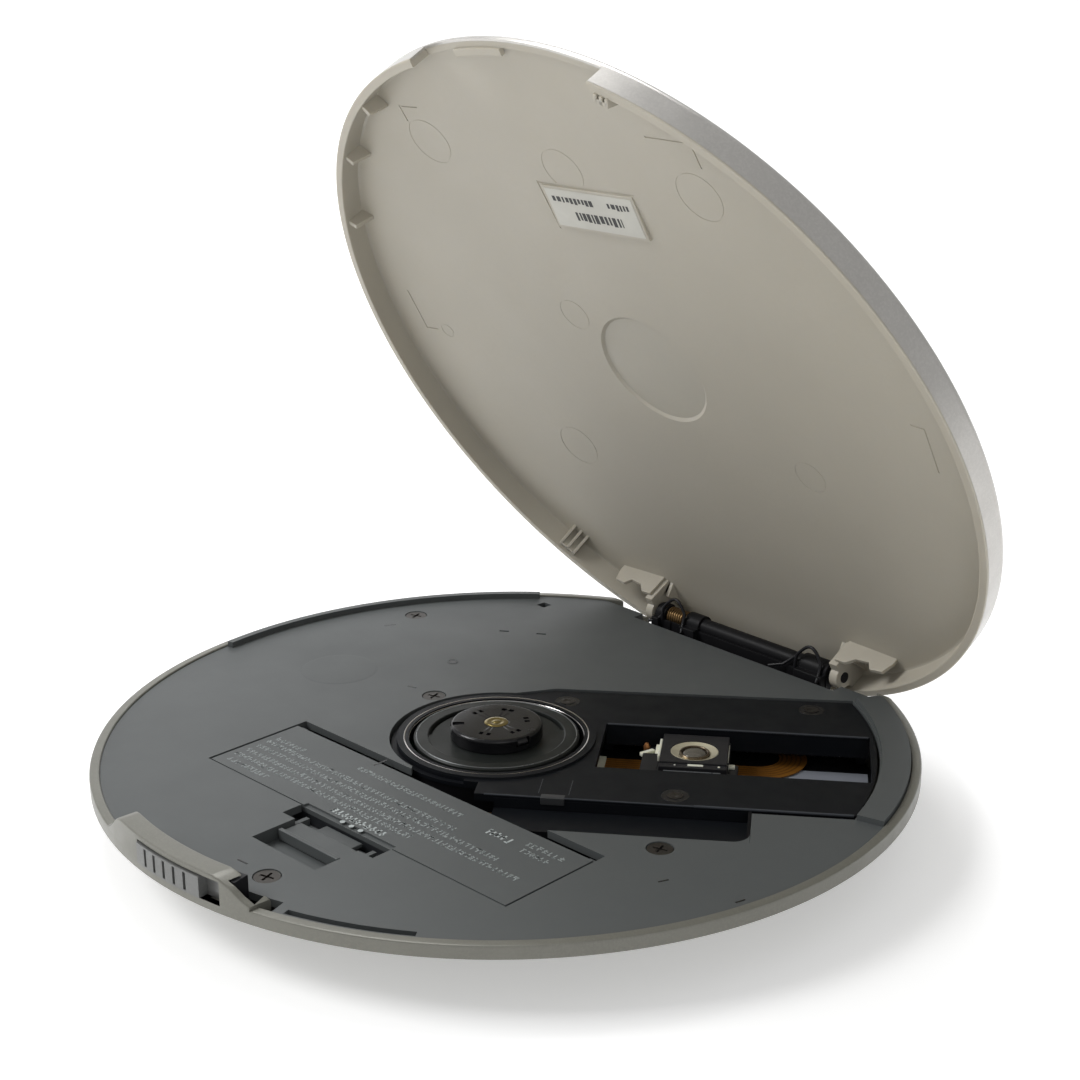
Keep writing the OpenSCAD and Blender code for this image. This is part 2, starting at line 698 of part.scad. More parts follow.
module lid_liner() color("#c9c5b8") in_lid() difference() {
    union() {
        difference() {
            union() {
                lid_bowl(skin_t);
                rim_ring(shell_r, 0, 0.4);
            }
            difference() {
                lid_bowl(lid_t, -1);
                rim_ring(shell_r - lid_t, 0, 3.8);
            }
            lid_notch();
            at_spindle(lid_top_h - lid_t - 0.5) cylinder(r = 10.6, h = 0.75, $fn = smooth);
        }
        // hinge arms
        for (x = arm_x) {
            translate([0, hinge_y, 0]) rod(x - arm_t / 2, x + arm_t / 2, 2.1);
            box([x - arm_t / 2, hinge_y - 2.1, 0], [x + arm_t / 2, hinge_y + 3.9, 4.4]);
        }
        // ribs on the left wall, and the lugs beside the hinge and the notch
        for (a = [-124.3, -139, -154.7])
            rotate([0, 0, a]) box([62.4, -0.5, 0.6], [rim_in + 0.3, 0.5, 4.4]);
        rotate([0, 0, 131.5]) box([61.8, -1.4, 0.6], [rim_in + 0.3, 1.4, 4.4]);
        rotate([0, 0, -70.5]) box([62.2, -1.2, -0.6], [rim_in + 0.3, 1.2, 4.4]);
        label_place() box([-9.8, -3.9, 0], [9.8, 3.9, 0.6]);
    }
    translate([0, hinge_y, 0]) rod(-40, 40, shaft_r + run_gap);
}

// Clear tab inside the front wall, above the notch
module lid_catch() color("#d9d9d4") in_lid() sector(62.9, rim_in, -98.5, -89, 3.1, 3.9);

module lid_label() color("#d8d6cf") in_lid() label_place() box([-9.4, -3.5, -0.12], [9.4, 3.5, 0]);

lower_case();
rubber_feet();
deck_plate();
deck_screws();
main_board();
board_parts();
headphone_jack();
dc_jack();
key_switches();
lid_switch();
battery_bay();
battery_cell();
contact_spring();
contact_plate();
mechanism_chassis();
chassis_dampers();
chassis_screws();
motor_stator();
guide_shaft();
sled_motor();
flex_cable();
hinge_bracket();
hinge_shaft();
torsion_spring();
spindle_rotor();
spindle_shaft();
turntable();
hub_cap();
hub_claws();
centre_bush();
sled_base();
pickup_cover();
lens_holder();
objective_lens();
screw_follower();
lead_screw();
screw_gear();
motor_pinion();
open_slide();
latch_hook();
battery_door();
door_latch();
hold_switch();
play_button();
stop_button();
volume_up();
volume_down();
lid_skin();
lid_liner();
lid_catch();
lid_label();
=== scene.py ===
import json
import math
import random

import bmesh
import bpy
from mathutils import Matrix, Vector


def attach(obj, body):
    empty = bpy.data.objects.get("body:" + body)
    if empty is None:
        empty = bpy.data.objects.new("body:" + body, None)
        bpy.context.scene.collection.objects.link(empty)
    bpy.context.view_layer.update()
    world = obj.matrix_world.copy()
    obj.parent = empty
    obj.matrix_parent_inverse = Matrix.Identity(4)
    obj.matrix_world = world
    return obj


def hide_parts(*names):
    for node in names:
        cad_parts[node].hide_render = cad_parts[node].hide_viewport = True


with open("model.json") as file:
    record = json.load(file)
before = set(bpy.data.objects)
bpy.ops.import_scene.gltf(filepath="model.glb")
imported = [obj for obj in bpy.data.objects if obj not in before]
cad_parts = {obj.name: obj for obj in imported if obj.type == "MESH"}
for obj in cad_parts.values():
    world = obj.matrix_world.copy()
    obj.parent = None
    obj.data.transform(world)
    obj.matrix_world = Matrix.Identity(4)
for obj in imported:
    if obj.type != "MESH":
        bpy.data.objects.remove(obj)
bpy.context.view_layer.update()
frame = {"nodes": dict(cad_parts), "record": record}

MM = 0.001
BIG = 200.0

# ---- sizes of the CAD frame, millimetres ------------------------------------
DECK = 10.2            # deck's upper face
SHELL_R = 65.5
DECK_R = 63.9
REAR_Y = 56.3
HINGE = Vector((0, 56.4, 11.1))
LID_OPEN = 60.0
LID_WALL, LID_TOP = 5.2, 7.7
SPINDLE = Vector((-0.9, -1.4, 0))
TRACK_TURN = 39.6
DOOR_MID, DOOR_TURN = Vector((7.6, -28.75, 0)), 3.3
LENS_U = 31.8
ARM_X = (-21.6, 22.4)
KEY_Z = 5.9


def turn(deg, axis="Z"):
    return Matrix.Rotation(math.radians(deg), 4, axis)


def at(x=0, y=0, z=0):
    return Matrix.Translation((x, y, z))


TRACK = at(*SPINDLE) @ turn(TRACK_TURN)
DOOR = at(*DOOR_MID) @ turn(DOOR_TURN)
LID = at(*HINGE) @ turn(-LID_OPEN, "X") @ at(0, -HINGE.y, 0)
FLAT = Matrix.Identity(4)


# ---- camera ------------------------------------------------------------------
def make_camera():
    az, el, roll = (math.radians(a) for a in (47.856, 18.545, -0.25))
    distance, aside, above = 0.29960, 0.005332, 0.031192
    back = Vector((math.sin(az) * math.cos(el), -math.cos(az) * math.cos(el), math.sin(el)))
    right = Vector((math.cos(az), math.sin(az), 0))
    up = back.cross(right)
    side = right * math.cos(roll) + up * math.sin(roll)
    top = up * math.cos(roll) - right * math.sin(roll)
    cam = bpy.data.objects.new("camera", bpy.data.cameras.new("camera"))
    bpy.context.scene.collection.objects.link(cam)
    place = Matrix((side, top, back)).transposed().to_4x4()
    place.translation = back * distance + side * aside + top * above + Vector((0, 0, DECK * MM))
    cam.matrix_world = place
    cam.data.sensor_width = 36.0
    cam.data.lens = 62.1
    cam.data.clip_start, cam.data.clip_end = 0.01, 20
    bpy.context.scene.camera = cam


make_camera()


# ---- materials -----------------------------------------------------------------
ROUGH_VARY = 0.06      # how far the roughness wanders to each side


def surface(name, color, rough=0.5, metal=0.0, vary=0.06, vary_size=8.0, grain=0.3, bump=0.02,
            flake=0.0, scratch=0.0, coat=0.0, sub=0.0, spec=0.5, dust=0.0):
    """A procedural finish: mottled colour, uneven gloss, moulded or sprayed grain, flakes and scratches."""
    m = bpy.data.materials.new(name)
    m.use_nodes = True
    nt = m.node_tree
    bsdf = nt.nodes["Principled BSDF"]
    bsdf.inputs["Metallic"].default_value = metal
    bsdf.inputs["Coat Weight"].default_value = coat
    bsdf.inputs["Coat Roughness"].default_value = 0.12
    bsdf.inputs["Specular IOR Level"].default_value = spec
    bsdf.inputs["Subsurface Weight"].default_value = sub
    bsdf.inputs["Subsurface Radius"].default_value = (0.0012, 0.001, 0.0007)
    bsdf.inputs["Subsurface Scale"].default_value = 1.0
    where = nt.nodes.new("ShaderNodeTexCoord").outputs["Object"]

    def noise(size_mm, detail=4.0, squeeze=None):
        n = nt.nodes.new("ShaderNodeTexNoise")
        n.inputs["Scale"].default_value = 1.0 / (size_mm * MM)
        n.inputs["Detail"].default_value = detail
        source = where
        if squeeze:
            s = nt.nodes.new("ShaderNodeMapping")
            s.inputs["Scale"].default_value = squeeze
            s.inputs["Rotation"].default_value = (0, 0, 0.6)
            nt.links.new(where, s.inputs["Vector"])
            source = s.outputs["Vector"]
        nt.links.new(source, n.inputs["Vector"])
        return n.outputs["Fac"]

    def remap(value, lo, hi, start=0.3, stop=0.7):
        r = nt.nodes.new("ShaderNodeMapRange")
        r.inputs["From Min"].default_value, r.inputs["From Max"].default_value = start, stop
        r.inputs["To Min"].default_value, r.inputs["To Max"].default_value = lo, hi
        nt.links.new(value, r.inputs["Value"])
        return r.outputs["Result"]

    def blend(a, b, fac, mode="MIX"):
        x = nt.nodes.new("ShaderNodeMix")
        x.data_type, x.blend_type = "RGBA", mode
        for slot, v in (("Factor", fac), ("A", a), ("B", b)):
            i = next(s for s in x.inputs if s.name == slot and s.enabled)
            if isinstance(v, (tuple, list)):
                i.default_value = (*v, 1)
            elif isinstance(v, float):
                i.default_value = v
            else:
                nt.links.new(v, i)
        return next(o for o in x.outputs if o.enabled)

    dark = tuple(c * (1 - vary) for c in color)
    light = tuple(min(1, c * (1 + vary)) for c in color)
    tone = blend(dark, light, remap(noise(vary_size), 0, 1))
    fine = remap(noise(grain * 2.2, 2.0), 0, 1)
    tone = blend(tone, tuple(c * (1 - vary) for c in color), remap(fine, 0.0, 0.35, 0, 1))
    if flake:
        cells = nt.nodes.new("ShaderNodeTexVoronoi")
        cells.inputs["Scale"].default_value = 1.0 / (0.28 * MM)
        nt.links.new(where, cells.inputs["Vector"])
        sep = nt.nodes.new("ShaderNodeSeparateColor")
        nt.links.new(cells.outputs["Color"], sep.inputs["Color"])
        glint = remap(sep.outputs["Red"], 0, 1, 0.3, 1)
        tone = blend(tone, tuple(min(1, c * (1 + 2.2 * flake)) for c in color), glint)
    if dust:
        pale = tuple(min(1, c * 1.7 + 0.02) for c in color)
        tone = blend(tone, pale, remap(noise(3.5, 8.0), 0, dust, 0.52, 0.72))
    nt.links.new(tone, bsdf.inputs["Base Color"])
    dull = min(1, rough + ROUGH_VARY)
    gloss = remap(noise(vary_size * 0.6, 6.0), max(0.03, rough - ROUGH_VARY), dull)
    nt.links.new(gloss, bsdf.inputs["Roughness"])
    height = nt.nodes.new("ShaderNodeBump")
    height.inputs["Strength"].default_value = min(1, bump * 10)
    height.inputs["Distance"].default_value = bump * MM
    nt.links.new(noise(grain, 3.0), height.inputs["Height"])
    last = height
    if scratch:
        lines = nt.nodes.new("ShaderNodeBump")
        lines.inputs["Strength"].default_value = scratch
        lines.inputs["Distance"].default_value = 0.01 * MM
        nt.links.new(remap(noise(1.0, 2.0, (0.12, 2.4, 1.0)), 0, 1, 0.62, 0.7), lines.inputs["Height"])
        nt.links.new(last.outputs["Normal"], lines.inputs["Normal"])
        last = lines
    nt.links.new(last.outputs["Normal"], bsdf.inputs["Normal"])
    return m


LOOKS = {
    "case_paint": surface("case_paint", (0.16, 0.158, 0.135), 0.38, 0.25, grain=0.25, bump=0.004,
                          flake=0.03, coat=0.1),
    "foot_rubber": surface("foot_rubber", (0.03, 0.03, 0.03), 0.8, grain=0.5, bump=0.03),
    "deck_plastic": surface("deck_plastic", (0.080, 0.087, 0.088), 0.45, grain=0.22, bump=0.008,
                            scratch=0.12, dust=0.03, spec=0.3, vary=0.03, vary_size=30),
    "door_plastic": surface("door_plastic", (0.080, 0.087, 0.088), 0.46, grain=0.22, bump=0.008,
                            scratch=0.15, dust=0.05, spec=0.3, vary=0.03, vary_size=30),
    "screw_steel": surface("screw_steel", (0.055, 0.050, 0.045), 0.38, 0.85, grain=0.3, bump=0.01,
                           scratch=0.4),
    "board_green": surface("board_green", (0.02, 0.11, 0.05), 0.35, grain=0.8, bump=0.02, vary=0.15),
    "component_black": surface("component_black", (0.02, 0.02, 0.021), 0.5, grain=0.3),
    "socket_black": surface("socket_black", (0.022, 0.022, 0.024), 0.42, grain=0.3, bump=0.01),
    "cell_wrap": surface("cell_wrap", (0.022, 0.024, 0.027), 0.3, grain=1.2, bump=0.01, vary=0.04),
    "contact_metal": surface("contact_metal", (0.62, 0.60, 0.53), 0.28, 1.0, scratch=0.3),
    "chassis_black": surface("chassis_black", (0.007, 0.008, 0.010), 0.42, grain=0.3, bump=0.01,
                             dust=0.05, scratch=0.2, spec=0.1),
    "stator_copper": surface("stator_copper", (0.45, 0.20, 0.08), 0.4, 0.9, grain=0.3, bump=0.05),
    "shaft_steel": surface("shaft_steel", (0.62, 0.62, 0.62), 0.16, 1.0, scratch=0.3),
    # a darker copy of shaft_steel: painted shade for steel parts that sit in shadow under the deck
    "oiled_steel": surface("oiled_steel", (0.07, 0.07, 0.075), 0.35, 0.8, scratch=0.3),
    "motor_can": surface("motor_can", (0.50, 0.50, 0.50), 0.3, 1.0, scratch=0.4),
    "flex_amber": surface("flex_amber", (0.20, 0.085, 0.012), 0.35, grain=0.6, bump=0.01, coat=0.3,
                          vary=0.12),
    "trace_copper": surface("trace_copper", (0.10, 0.04, 0.008), 0.35, grain=0.6, coat=0.3, vary=0.12),
    "bracket_black": surface("bracket_black", (0.009, 0.009, 0.010), 0.42, grain=0.3, bump=0.015,
                             dust=0.05, spec=0.1),
    "hook_black": surface("hook_black", (0.012, 0.012, 0.014), 0.32, grain=0.3, bump=0.01, spec=0.2),
    "spring_bronze": surface("spring_bronze", (0.20, 0.125, 0.055), 0.32, 0.9, scratch=0.3),
    "table_grey": surface("table_grey", (0.012, 0.014, 0.013), 0.42, grain=0.3, bump=0.012,
                          dust=0.08, vary=0.12, spec=0.2),
    # lighter metal for thin lines on edges: painted highlight
    "edge_bright": surface("edge_bright", (0.16, 0.17, 0.175), 0.3, 0.6, scratch=0.2),
    "collar_polish": surface("collar_polish", (0.55, 0.53, 0.52), 0.13, 1.0, scratch=0.25),
    # lighter grey for the plate's lips and seam lines: painted highlight along their edges
    "lip_grey": surface("lip_grey", (0.045, 0.05, 0.058), 0.34, grain=0.3, bump=0.01, spec=0.3),
    "tab_grey": surface("tab_grey", (0.05, 0.052, 0.055), 0.4, 0.3, grain=0.25, bump=0.02),
    # near black for walls, sheets and parts that stand for painted shade in pockets and recesses
    "pit_black": surface("pit_black", (0.006, 0.006, 0.007), 0.6, grain=0.5, bump=0.02, spec=0.1),
    # glossy near black of the hub, also used as painted shade in the deck's marks and round the chassis screws
    "hub_black": surface("hub_black", (0.006, 0.006, 0.007), 0.22, grain=0.25, bump=0.006, dust=0.06,
                         spec=0.35),
    "claw_black": surface("claw_black", (0.03, 0.03, 0.032), 0.3, grain=0.25, bump=0.006, spec=0.25),
    "bush_brass": surface("bush_brass", (0.30, 0.24, 0.10), 0.22, 1.0, scratch=0.3),
    "pinion_brass": surface("pinion_brass", (0.45, 0.31, 0.11), 0.3, 1.0, scratch=0.3),
    "pickup_black": surface("pickup_black", (0.018, 0.018, 0.020), 0.4, grain=0.25, bump=0.01,
                            dust=0.06, spec=0.2),
    "lens_cup": surface("lens_cup", (0.78, 0.74, 0.58), 0.30, 0.75, scratch=0.2),
    "barrel_bronze": surface("barrel_bronze", (0.14, 0.11, 0.075), 0.28, 0.9, scratch=0.2),
    "lens_glass": surface("lens_glass", (0.14, 0.13, 0.11), 0.06, 0.5, coat=1.0),
    "gear_white": surface("gear_white", (0.70, 0.68, 0.60), 0.45, sub=0.2),
    "slide_silver": surface("slide_silver", (0.15, 0.152, 0.148), 0.36, 0.35, flake=0.04, grain=0.25,
                            bump=0.004),
    "button_silver": surface("button_silver", (0.19, 0.19, 0.185), 0.36, 0.4, flake=0.04, grain=0.25,
                             bump=0.004),
    "lid_paint": surface("lid_paint", (0.52, 0.505, 0.48), 0.34, 0.7, flake=0.03, grain=0.2,
                         bump=0.004, coat=0.2, vary=0.02),
    "lid_cream": surface("lid_cream", (0.43, 0.40, 0.335), 0.5, grain=0.35, bump=0.012, sub=0.2,
                         vary=0.03,
                         vary_size=22, scratch=0.1),
    "label_grey": surface("label_grey", (0.50, 0.49, 0.44), 0.4, grain=0.4, bump=0.004),
    "print_dark": surface("print_dark", (0.03, 0.03, 0.03), 0.5, grain=0.4),
    "print_light": surface("print_light", (0.28, 0.31, 0.31), 0.55, grain=0.4),
    "print_bright": surface("print_bright", (0.42, 0.46, 0.46), 0.55, grain=0.4),
    "white_clip": surface("white_clip", (0.72, 0.72, 0.60), 0.4, sub=0.2),
    "grey_tape": surface("grey_tape", (0.22, 0.235, 0.27), 0.5, grain=0.5),
}


# ---- mesh code -----------------------------------------------------------------
class Shape:
    """Collects closed shells in millimetres and turns them into one piece of the model."""

    def __init__(self, place=FLAT):
        self.bm = bmesh.new()
        self.place = place

    def add(self, points, faces, place=FLAT, round_by=0.0, steps=2, sharp=25):
        m = self.place @ place
        vs = [self.bm.verts.new(m @ Vector(p)) for p in points]
        fs = [self.bm.faces.new([vs[i] for i in f]) for f in faces]
        bmesh.ops.recalc_face_normals(self.bm, faces=fs)
        if round_by:
            edges = {e for f in fs for e in f.edges if e.calc_face_angle(0) > math.radians(sharp)}
            bmesh.ops.bevel(self.bm, geom=list(edges), offset=round_by, segments=steps, affect="EDGES",
                            profile=0.5, clamp_overlap=True)
        return self

    def prism(self, outline, z0, z1, **how):
        n = len(outline)
        points = [(x, y, z) for z in (z0, z1) for x, y in outline]
        faces = [list(range(n)), list(range(n, 2 * n))]
        faces += [(i, (i + 1) % n, n + (i + 1) % n, n + i) for i in range(n)]
        return self.add(points, faces, **how)

    def box(self, lo, hi, **how):
        outline = [(lo[0], lo[1]), (hi[0], lo[1]), (hi[0], hi[1]), (lo[0], hi[1])]
        return self.prism(outline, lo[2], hi[2], **how)

    def lathe(self, profile, segments=96, a0=0.0, a1=360.0, **how):
        """profile is a closed outline of (radius, z). A point at radius 0 is a pole."""
        full = abs(a1 - a0) >= 360
        count = segments if full else segments + 1
        ids, points = [], []
        for k in range(count):
            a = math.radians(a0 + (a1 - a0) * k / segments)
            row = []
            for j, (r, z) in enumerate(profile):
                if r < 1e-9 and k:
                    row.append(ids[0][j])
                    continue
                row.append(len(points))
                points.append((r * math.cos(a), r * math.sin(a), z))
            ids.append(row)
        n, faces = len(profile), []
        for k in range(segments):
            p, q = ids[k], ids[(k + 1) % count]
            for j in range(n):
                quad = (p[j], p[(j + 1) % n], q[(j + 1) % n], q[j])
                corners = [v for i, v in enumerate(quad) if v not in quad[:i]]
                if len(corners) > 2:
                    faces.append(corners)
        if not full:
            faces += [ids[0], ids[-1]]
        return self.add(points, faces, **how)

    def ring(self, r0, r1, z0, z1, edge=0.0, segments=96, **how):
        """A turned ring with chamfered edges."""
        e = edge
        profile = [(r0, z0 + e), (r0 + e, z0), (r1 - e, z0), (r1, z0 + e),
                   (r1, z1 - e), (r1 - e, z1), (r0 + e, z1), (r0, z1 - e)]
        if not e:
            profile = [(r0, z0), (r1, z0), (r1, z1), (r0, z1)]
        return self.lathe(profile, segments, **how)

    def disc(self, r, z0, z1, edge=0.0, segments=64, **how):
        profile = [(0, z0), (r - edge, z0), (r, z0 + edge), (r, z1 - edge), (r - edge, z1), (0, z1)]
        if not edge:
            profile = [(0, z0), (r, z0), (r, z1), (0, z1)]
        return self.lathe(profile, segments, **how)

    def tube(self, path, r, sides=10, place=FLAT, closed=False):
        """A round wire along a path of points."""
        pts = [Vector(p) for p in path]
        n, rows, points, faces = len(pts), [], [], []
        up = None
        for i, p in enumerate(pts):
            a, b = pts[i - 1 if closed or i else 0], pts[(i + 1) % n if closed or i < n - 1 else i]
            d = (b - a).normalized()
            up = d.orthogonal() if up is None else (up - d * up.dot(d))
            up.normalize()
            w = d.cross(up)
            row = []
            for k in range(sides):
                t = 2 * math.pi * k / sides
                row.append(len(points))
                points.append(p + (up * math.cos(t) + w * math.sin(t)) * r)
            rows.append(row)
        for i in range(n if closed else n - 1):
            p, q = rows[i], rows[(i + 1) % n]
            faces += [(p[k], p[(k + 1) % sides], q[(k + 1) % sides], q[k]) for k in range(sides)]
        if not closed:
            faces += [rows[0], rows[-1]]
        return self.add(points, faces, place=place)

    def mesh(self, name):
        data = bpy.data.meshes.new(name)
        bmesh.ops.scale(self.bm, vec=(MM,) * 3, verts=self.bm.verts)
        self.bm.to_mesh(data)
        self.bm.free()
        return data

    def make(self, name, look, body, stands_for=(), cut=None, cuts=(), sharp=32, bevel=0.0):
        o = bpy.data.objects.new(name, self.mesh(name))
        bpy.context.scene.collection.objects.link(o)
        for tool in ([cut] if cut else []) + list(cuts):
            carve(o, tool)
        dress(o, look, sharp, bevel)
        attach(o, body)
        if stands_for:
            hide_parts(*stands_for)
        return o


def carve(o, tool, how="DIFFERENCE"):
    knife = bpy.data.objects.new("knife", tool.mesh("knife"))
    bpy.context.scene.collection.objects.link(knife)
    mod = o.modifiers.new("carve", "BOOLEAN")
    mod.operation, mod.object, mod.solver = how, knife, "EXACT"
    mod.use_self = True
    settle(o)
    bpy.data.objects.remove(knife)


def settle(o):
    """Applies the modifiers."""
    graph = bpy.context.evaluated_depsgraph_get()
    graph.update()
    data = bpy.data.meshes.new_from_object(o.evaluated_get(graph))
    o.modifiers.clear()
    o.data = data


def paint(o, look):
    o.data.materials.clear()
    o.data.materials.append(LOOKS[look])


def dress(o, look, sharp=32, bevel=0.0):
    """Paints a piece, rounds its edges and gives its flat faces flat shading."""
    paint(o, look)
    if bevel:
        mod = o.modifiers.new("edges", "BEVEL")
        mod.width, mod.segments, mod.limit_method = bevel * MM, 2, "ANGLE"
        mod.angle_limit = math.radians(28)
        mod.harden_normals = False
        settle(o)
        paint(o, look)
    o.data.polygons.foreach_set("use_smooth", [True] * len(o.data.polygons))
    o.data.set_sharp_from_angle(angle=math.radians(sharp))
    mod = o.modifiers.new("normals", "WEIGHTED_NORMAL")
    mod.keep_sharp = True
    settle(o)
    paint(o, look)


NODE_LOOK = {s["node"]: s["material_slot"] for s in frame["record"]["subparts"]}
NODE_BODY = {n: b for b, ns in frame["record"]["behaviour"]["bodies"].items() for n in ns}


WELD = 2e-6            # metres between corners that are one corner
FACET_ANGLE = 0.6      # degrees between the triangles of one flat face


def refine(node, bevel=0.12, sharp=32):
    """A CAD node's own shape with its facets joined into whole faces and its edges rounded."""
    bm = bmesh.new()
    bm.from_mesh(frame["nodes"][node].data)
    bmesh.ops.remove_doubles(bm, verts=bm.verts, dist=WELD)
    bmesh.ops.dissolve_limit(bm, angle_limit=math.radians(FACET_ANGLE), verts=bm.verts, edges=bm.edges)
    data = bpy.data.meshes.new(node + "_fine")
    bm.to_mesh(data)
    bm.free()
    o = bpy.data.objects.new(node + "_fine", data)
    bpy.context.scene.collection.objects.link(o)
    dress(o, NODE_LOOK[node], sharp, bevel)
    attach(o, NODE_BODY[node])
    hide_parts(node)


# ---- lid -------------------------------------------------------------------------
LID_T = 1.0            # both layers together
SKIN_T = 0.4
RIM_IN = 64.1          # inside of the lid's wall
LID_CORNER = 1.4       # rounding between the wall and the dome
LID_SHRINK = 0.4       # how much the rounding shrinks per millimetre of inset
ARM_HALF = 0.85
LID_MARK_W = 0.16      # half the width of the straight moulding marks
DOME_GAP = 0.02

# an outline of (along y, up) with its height along x, and one of (along x, up) with its height along y
ALONG_X = Matrix(((0, 0, 1, 0), (1, 0, 0, 0), (0, 1, 0, 0), (0, 0, 0, 1)))
ALONG_Y = Matrix(((1, 0, 0, 0), (0, 0, 1, 0), (0, 1, 0, 0), (0, 0, 0, 1)))
LABEL = LID @ at(3.2, -34.3, 5.5)


def dome(r, top, edge_r, edge_h):
    return top - (top - edge_h) * (r / edge_r) ** 2


def lid_face(inset, steps=28):
    """Outline of one face of the lid from the wall's foot over the corner to the middle."""
    wall, corner = SHELL_R - inset, LID_CORNER - inset * LID_SHRINK
    edge, top, dome_r = LID_WALL - inset, LID_TOP - inset, SHELL_R - inset - corner
    points = [(wall, 0), (wall, edge - corner)]
    for i in range(1, 8):
        a = math.radians(90 * i / 8)
        points.append((dome_r + corner * math.cos(a), edge - corner + corner * math.sin(a)))
    for i in range(steps + 1):
        r = dome_r * (1 - i / steps)
        points.append((r, dome(r, top, dome_r, edge)))
    return points


INNER_R = SHELL_R - LID_T - (LID_CORNER - LID_T * LID_SHRINK)


def inner_dome(x, y):
    return dome(math.hypot(x, y), LID_TOP - LID_T, INNER_R, LID_WALL - LID_T)


def groove(shape, outline, depth):
    """Cutter that takes depth out of the lid's inner face inside an outline."""
    n = len(outline)
    points = [(x, y, inner_dome(x, y) - 1) for x, y in outline]
    points += [(x, y, inner_dome(x, y) + depth) for x, y in outline]
    faces = [list(range(n)), list(range(n, 2 * n))]
    faces += [(i, (i + 1) % n, n + (i + 1) % n, n + i) for i in range(n)]
    shape.add(points, faces)


def notch():
    return Shape(LID).box((-16.4, -70, -1), (20.8, -60.6, 3.5))


def ring_groove(shape, x, y, r, width, depth, steps=72):
    """One closed ring that follows the dome."""
    points, faces = [], []
    for k in range(steps):
        t = 2 * math.pi * k / steps
        for s in (-width / 2, width / 2):
            px, py = x + (r + s) * math.cos(t), y + (r + s) * math.sin(t)
            z = inner_dome(px, py)
            points += [(px, py, z - 1), (px, py, z + depth)]
    for k in range(steps):
        a, b = 4 * k, 4 * ((k + 1) % steps)
        faces += [(a, a + 1, b + 1, b), (a + 2, a + 3, b + 3, b + 2)]
        faces += [(a, a + 2, b + 2, b), (a + 1, a + 3, b + 3, b + 1)]
    shape.add(points, faces)


def dish(shape, x, y, floor_r, edge_r, depth, steps=96):
    """A round hollow with a sloping wall that follows the dome."""
    rings = [(edge_r, -0.02), (floor_r, depth), (floor_r * 0.6, depth), (floor_r * 0.25, depth)]
    points, faces = [], []
    for k in range(steps):
        t = 2 * math.pi * k / steps
        points.append((x + edge_r * math.cos(t), y + edge_r * math.sin(t), inner_dome(x, y) - 2))
        for r, deep in rings:
            px, py = x + r * math.cos(t), y + r * math.sin(t)
            points.append((px, py, inner_dome(px, py) + deep))
    n = len(rings) + 1
    for k in range(steps):
        a, b = n * k, n * ((k + 1) % steps)
        faces += [(a + j, b + j, b + j + 1, a + j + 1) for j in range(n - 1)]
    faces += [[n * k for k in range(steps)], [n * k + n - 1 for k in range(steps)]]
    shape.add(points, faces)


def build_lid():
    # Outer skin with its metallic paint
    outer, inner = lid_face(0), lid_face(SKIN_T)
    outer[0], inner[0] = (outer[0][0], 0.4), (inner[0][0], 0.4)
    skin = Shape(LID).lathe(outer + inner[::-1], 256)
    skin.make("lid_skin_shell", "lid_paint", "lid", ["lid_skin"], cut=notch(), sharp=35)

    # Liner: cream inside with a thicker rim, a step under the corner and shallow moulding marks
    inside = lid_face(LID_T)
    outside = lid_face(SKIN_T + DOME_GAP)
    rim = [(RIM_IN + 0.12, 0), (SHELL_R - 0.12, 0), (SHELL_R, 0.1), (SHELL_R, 0.38), (outside[1][0], 0.39)]
    inside = [p for p in inside if p[0] < RIM_IN - 0.02 and p[1] > 4]
    profile = rim + outside[1:] + inside[::-1] + [(RIM_IN, 3.95), (RIM_IN, 0.12)]
    liner = Shape(LID).lathe(profile, 256)
    marks = Shape(LID)
    dish(marks, SPINDLE.x, SPINDLE.y, 10.35, 10.9, 0.4)
    for x, y, r in ((-28.9, -44.4, 4.2), (0, -41.5, 4.0), (28, -40.5, 4.2), (-14.5, -10.6, 3.0), (-52, -1, 1.4),
                    (27, 14, 3.0), (-30, 22, 4.2)):
        ring_groove(marks, x, y, r, 0.22, 0.06, 48)
    for (x0, y0), (x1, y1) in (((-31.8, -51.1), (-27.8, -51.1)), ((-31.8, -51.1), (-31.8, -48.3)),
                               ((22.2, -50.2), (31.0, -50.2)), ((31.0, -50.2), (31.0, -46.0)),
                               ((-57.6, -9.4), (-57.6, -1.0)), ((-57.6, -1.0), (-54.8, -1.0)),
                               ((55.6, -4.6), (55.6, 3.6)), ((53.2, -4.6), (55.6, -4.6)),
                               ((-7.4, -38.6), (-7.4, -29.6)), ((-7.4, -38.6), (13.4, -38.6))):
        w = LID_MARK_W
        groove(marks, [(x0 - w, y0 - w), (x1 + w, y0 - w) if y0 == y1 else (x0 + w, y0 - w),
                       (x1 + w, y1 + w), (x0 - w, y1 + w)], 0.12)
    liner.make("lid_liner_shell", "lid_cream", "lid", ["lid_liner"], cuts=[notch(), marks], sharp=28)

    build_lid_parts()
    build_label()
    catch = Shape(LID)
    catch.lathe([(62.9, 3.2), (63.0, 3.1), (RIM_IN, 3.1), (RIM_IN, 3.9), (63.0, 3.9), (62.9, 3.8)],
                16, -98.5, -89)
    catch.make("lid_catch_tab", "lid_cream", "lid", ["lid_catch"])


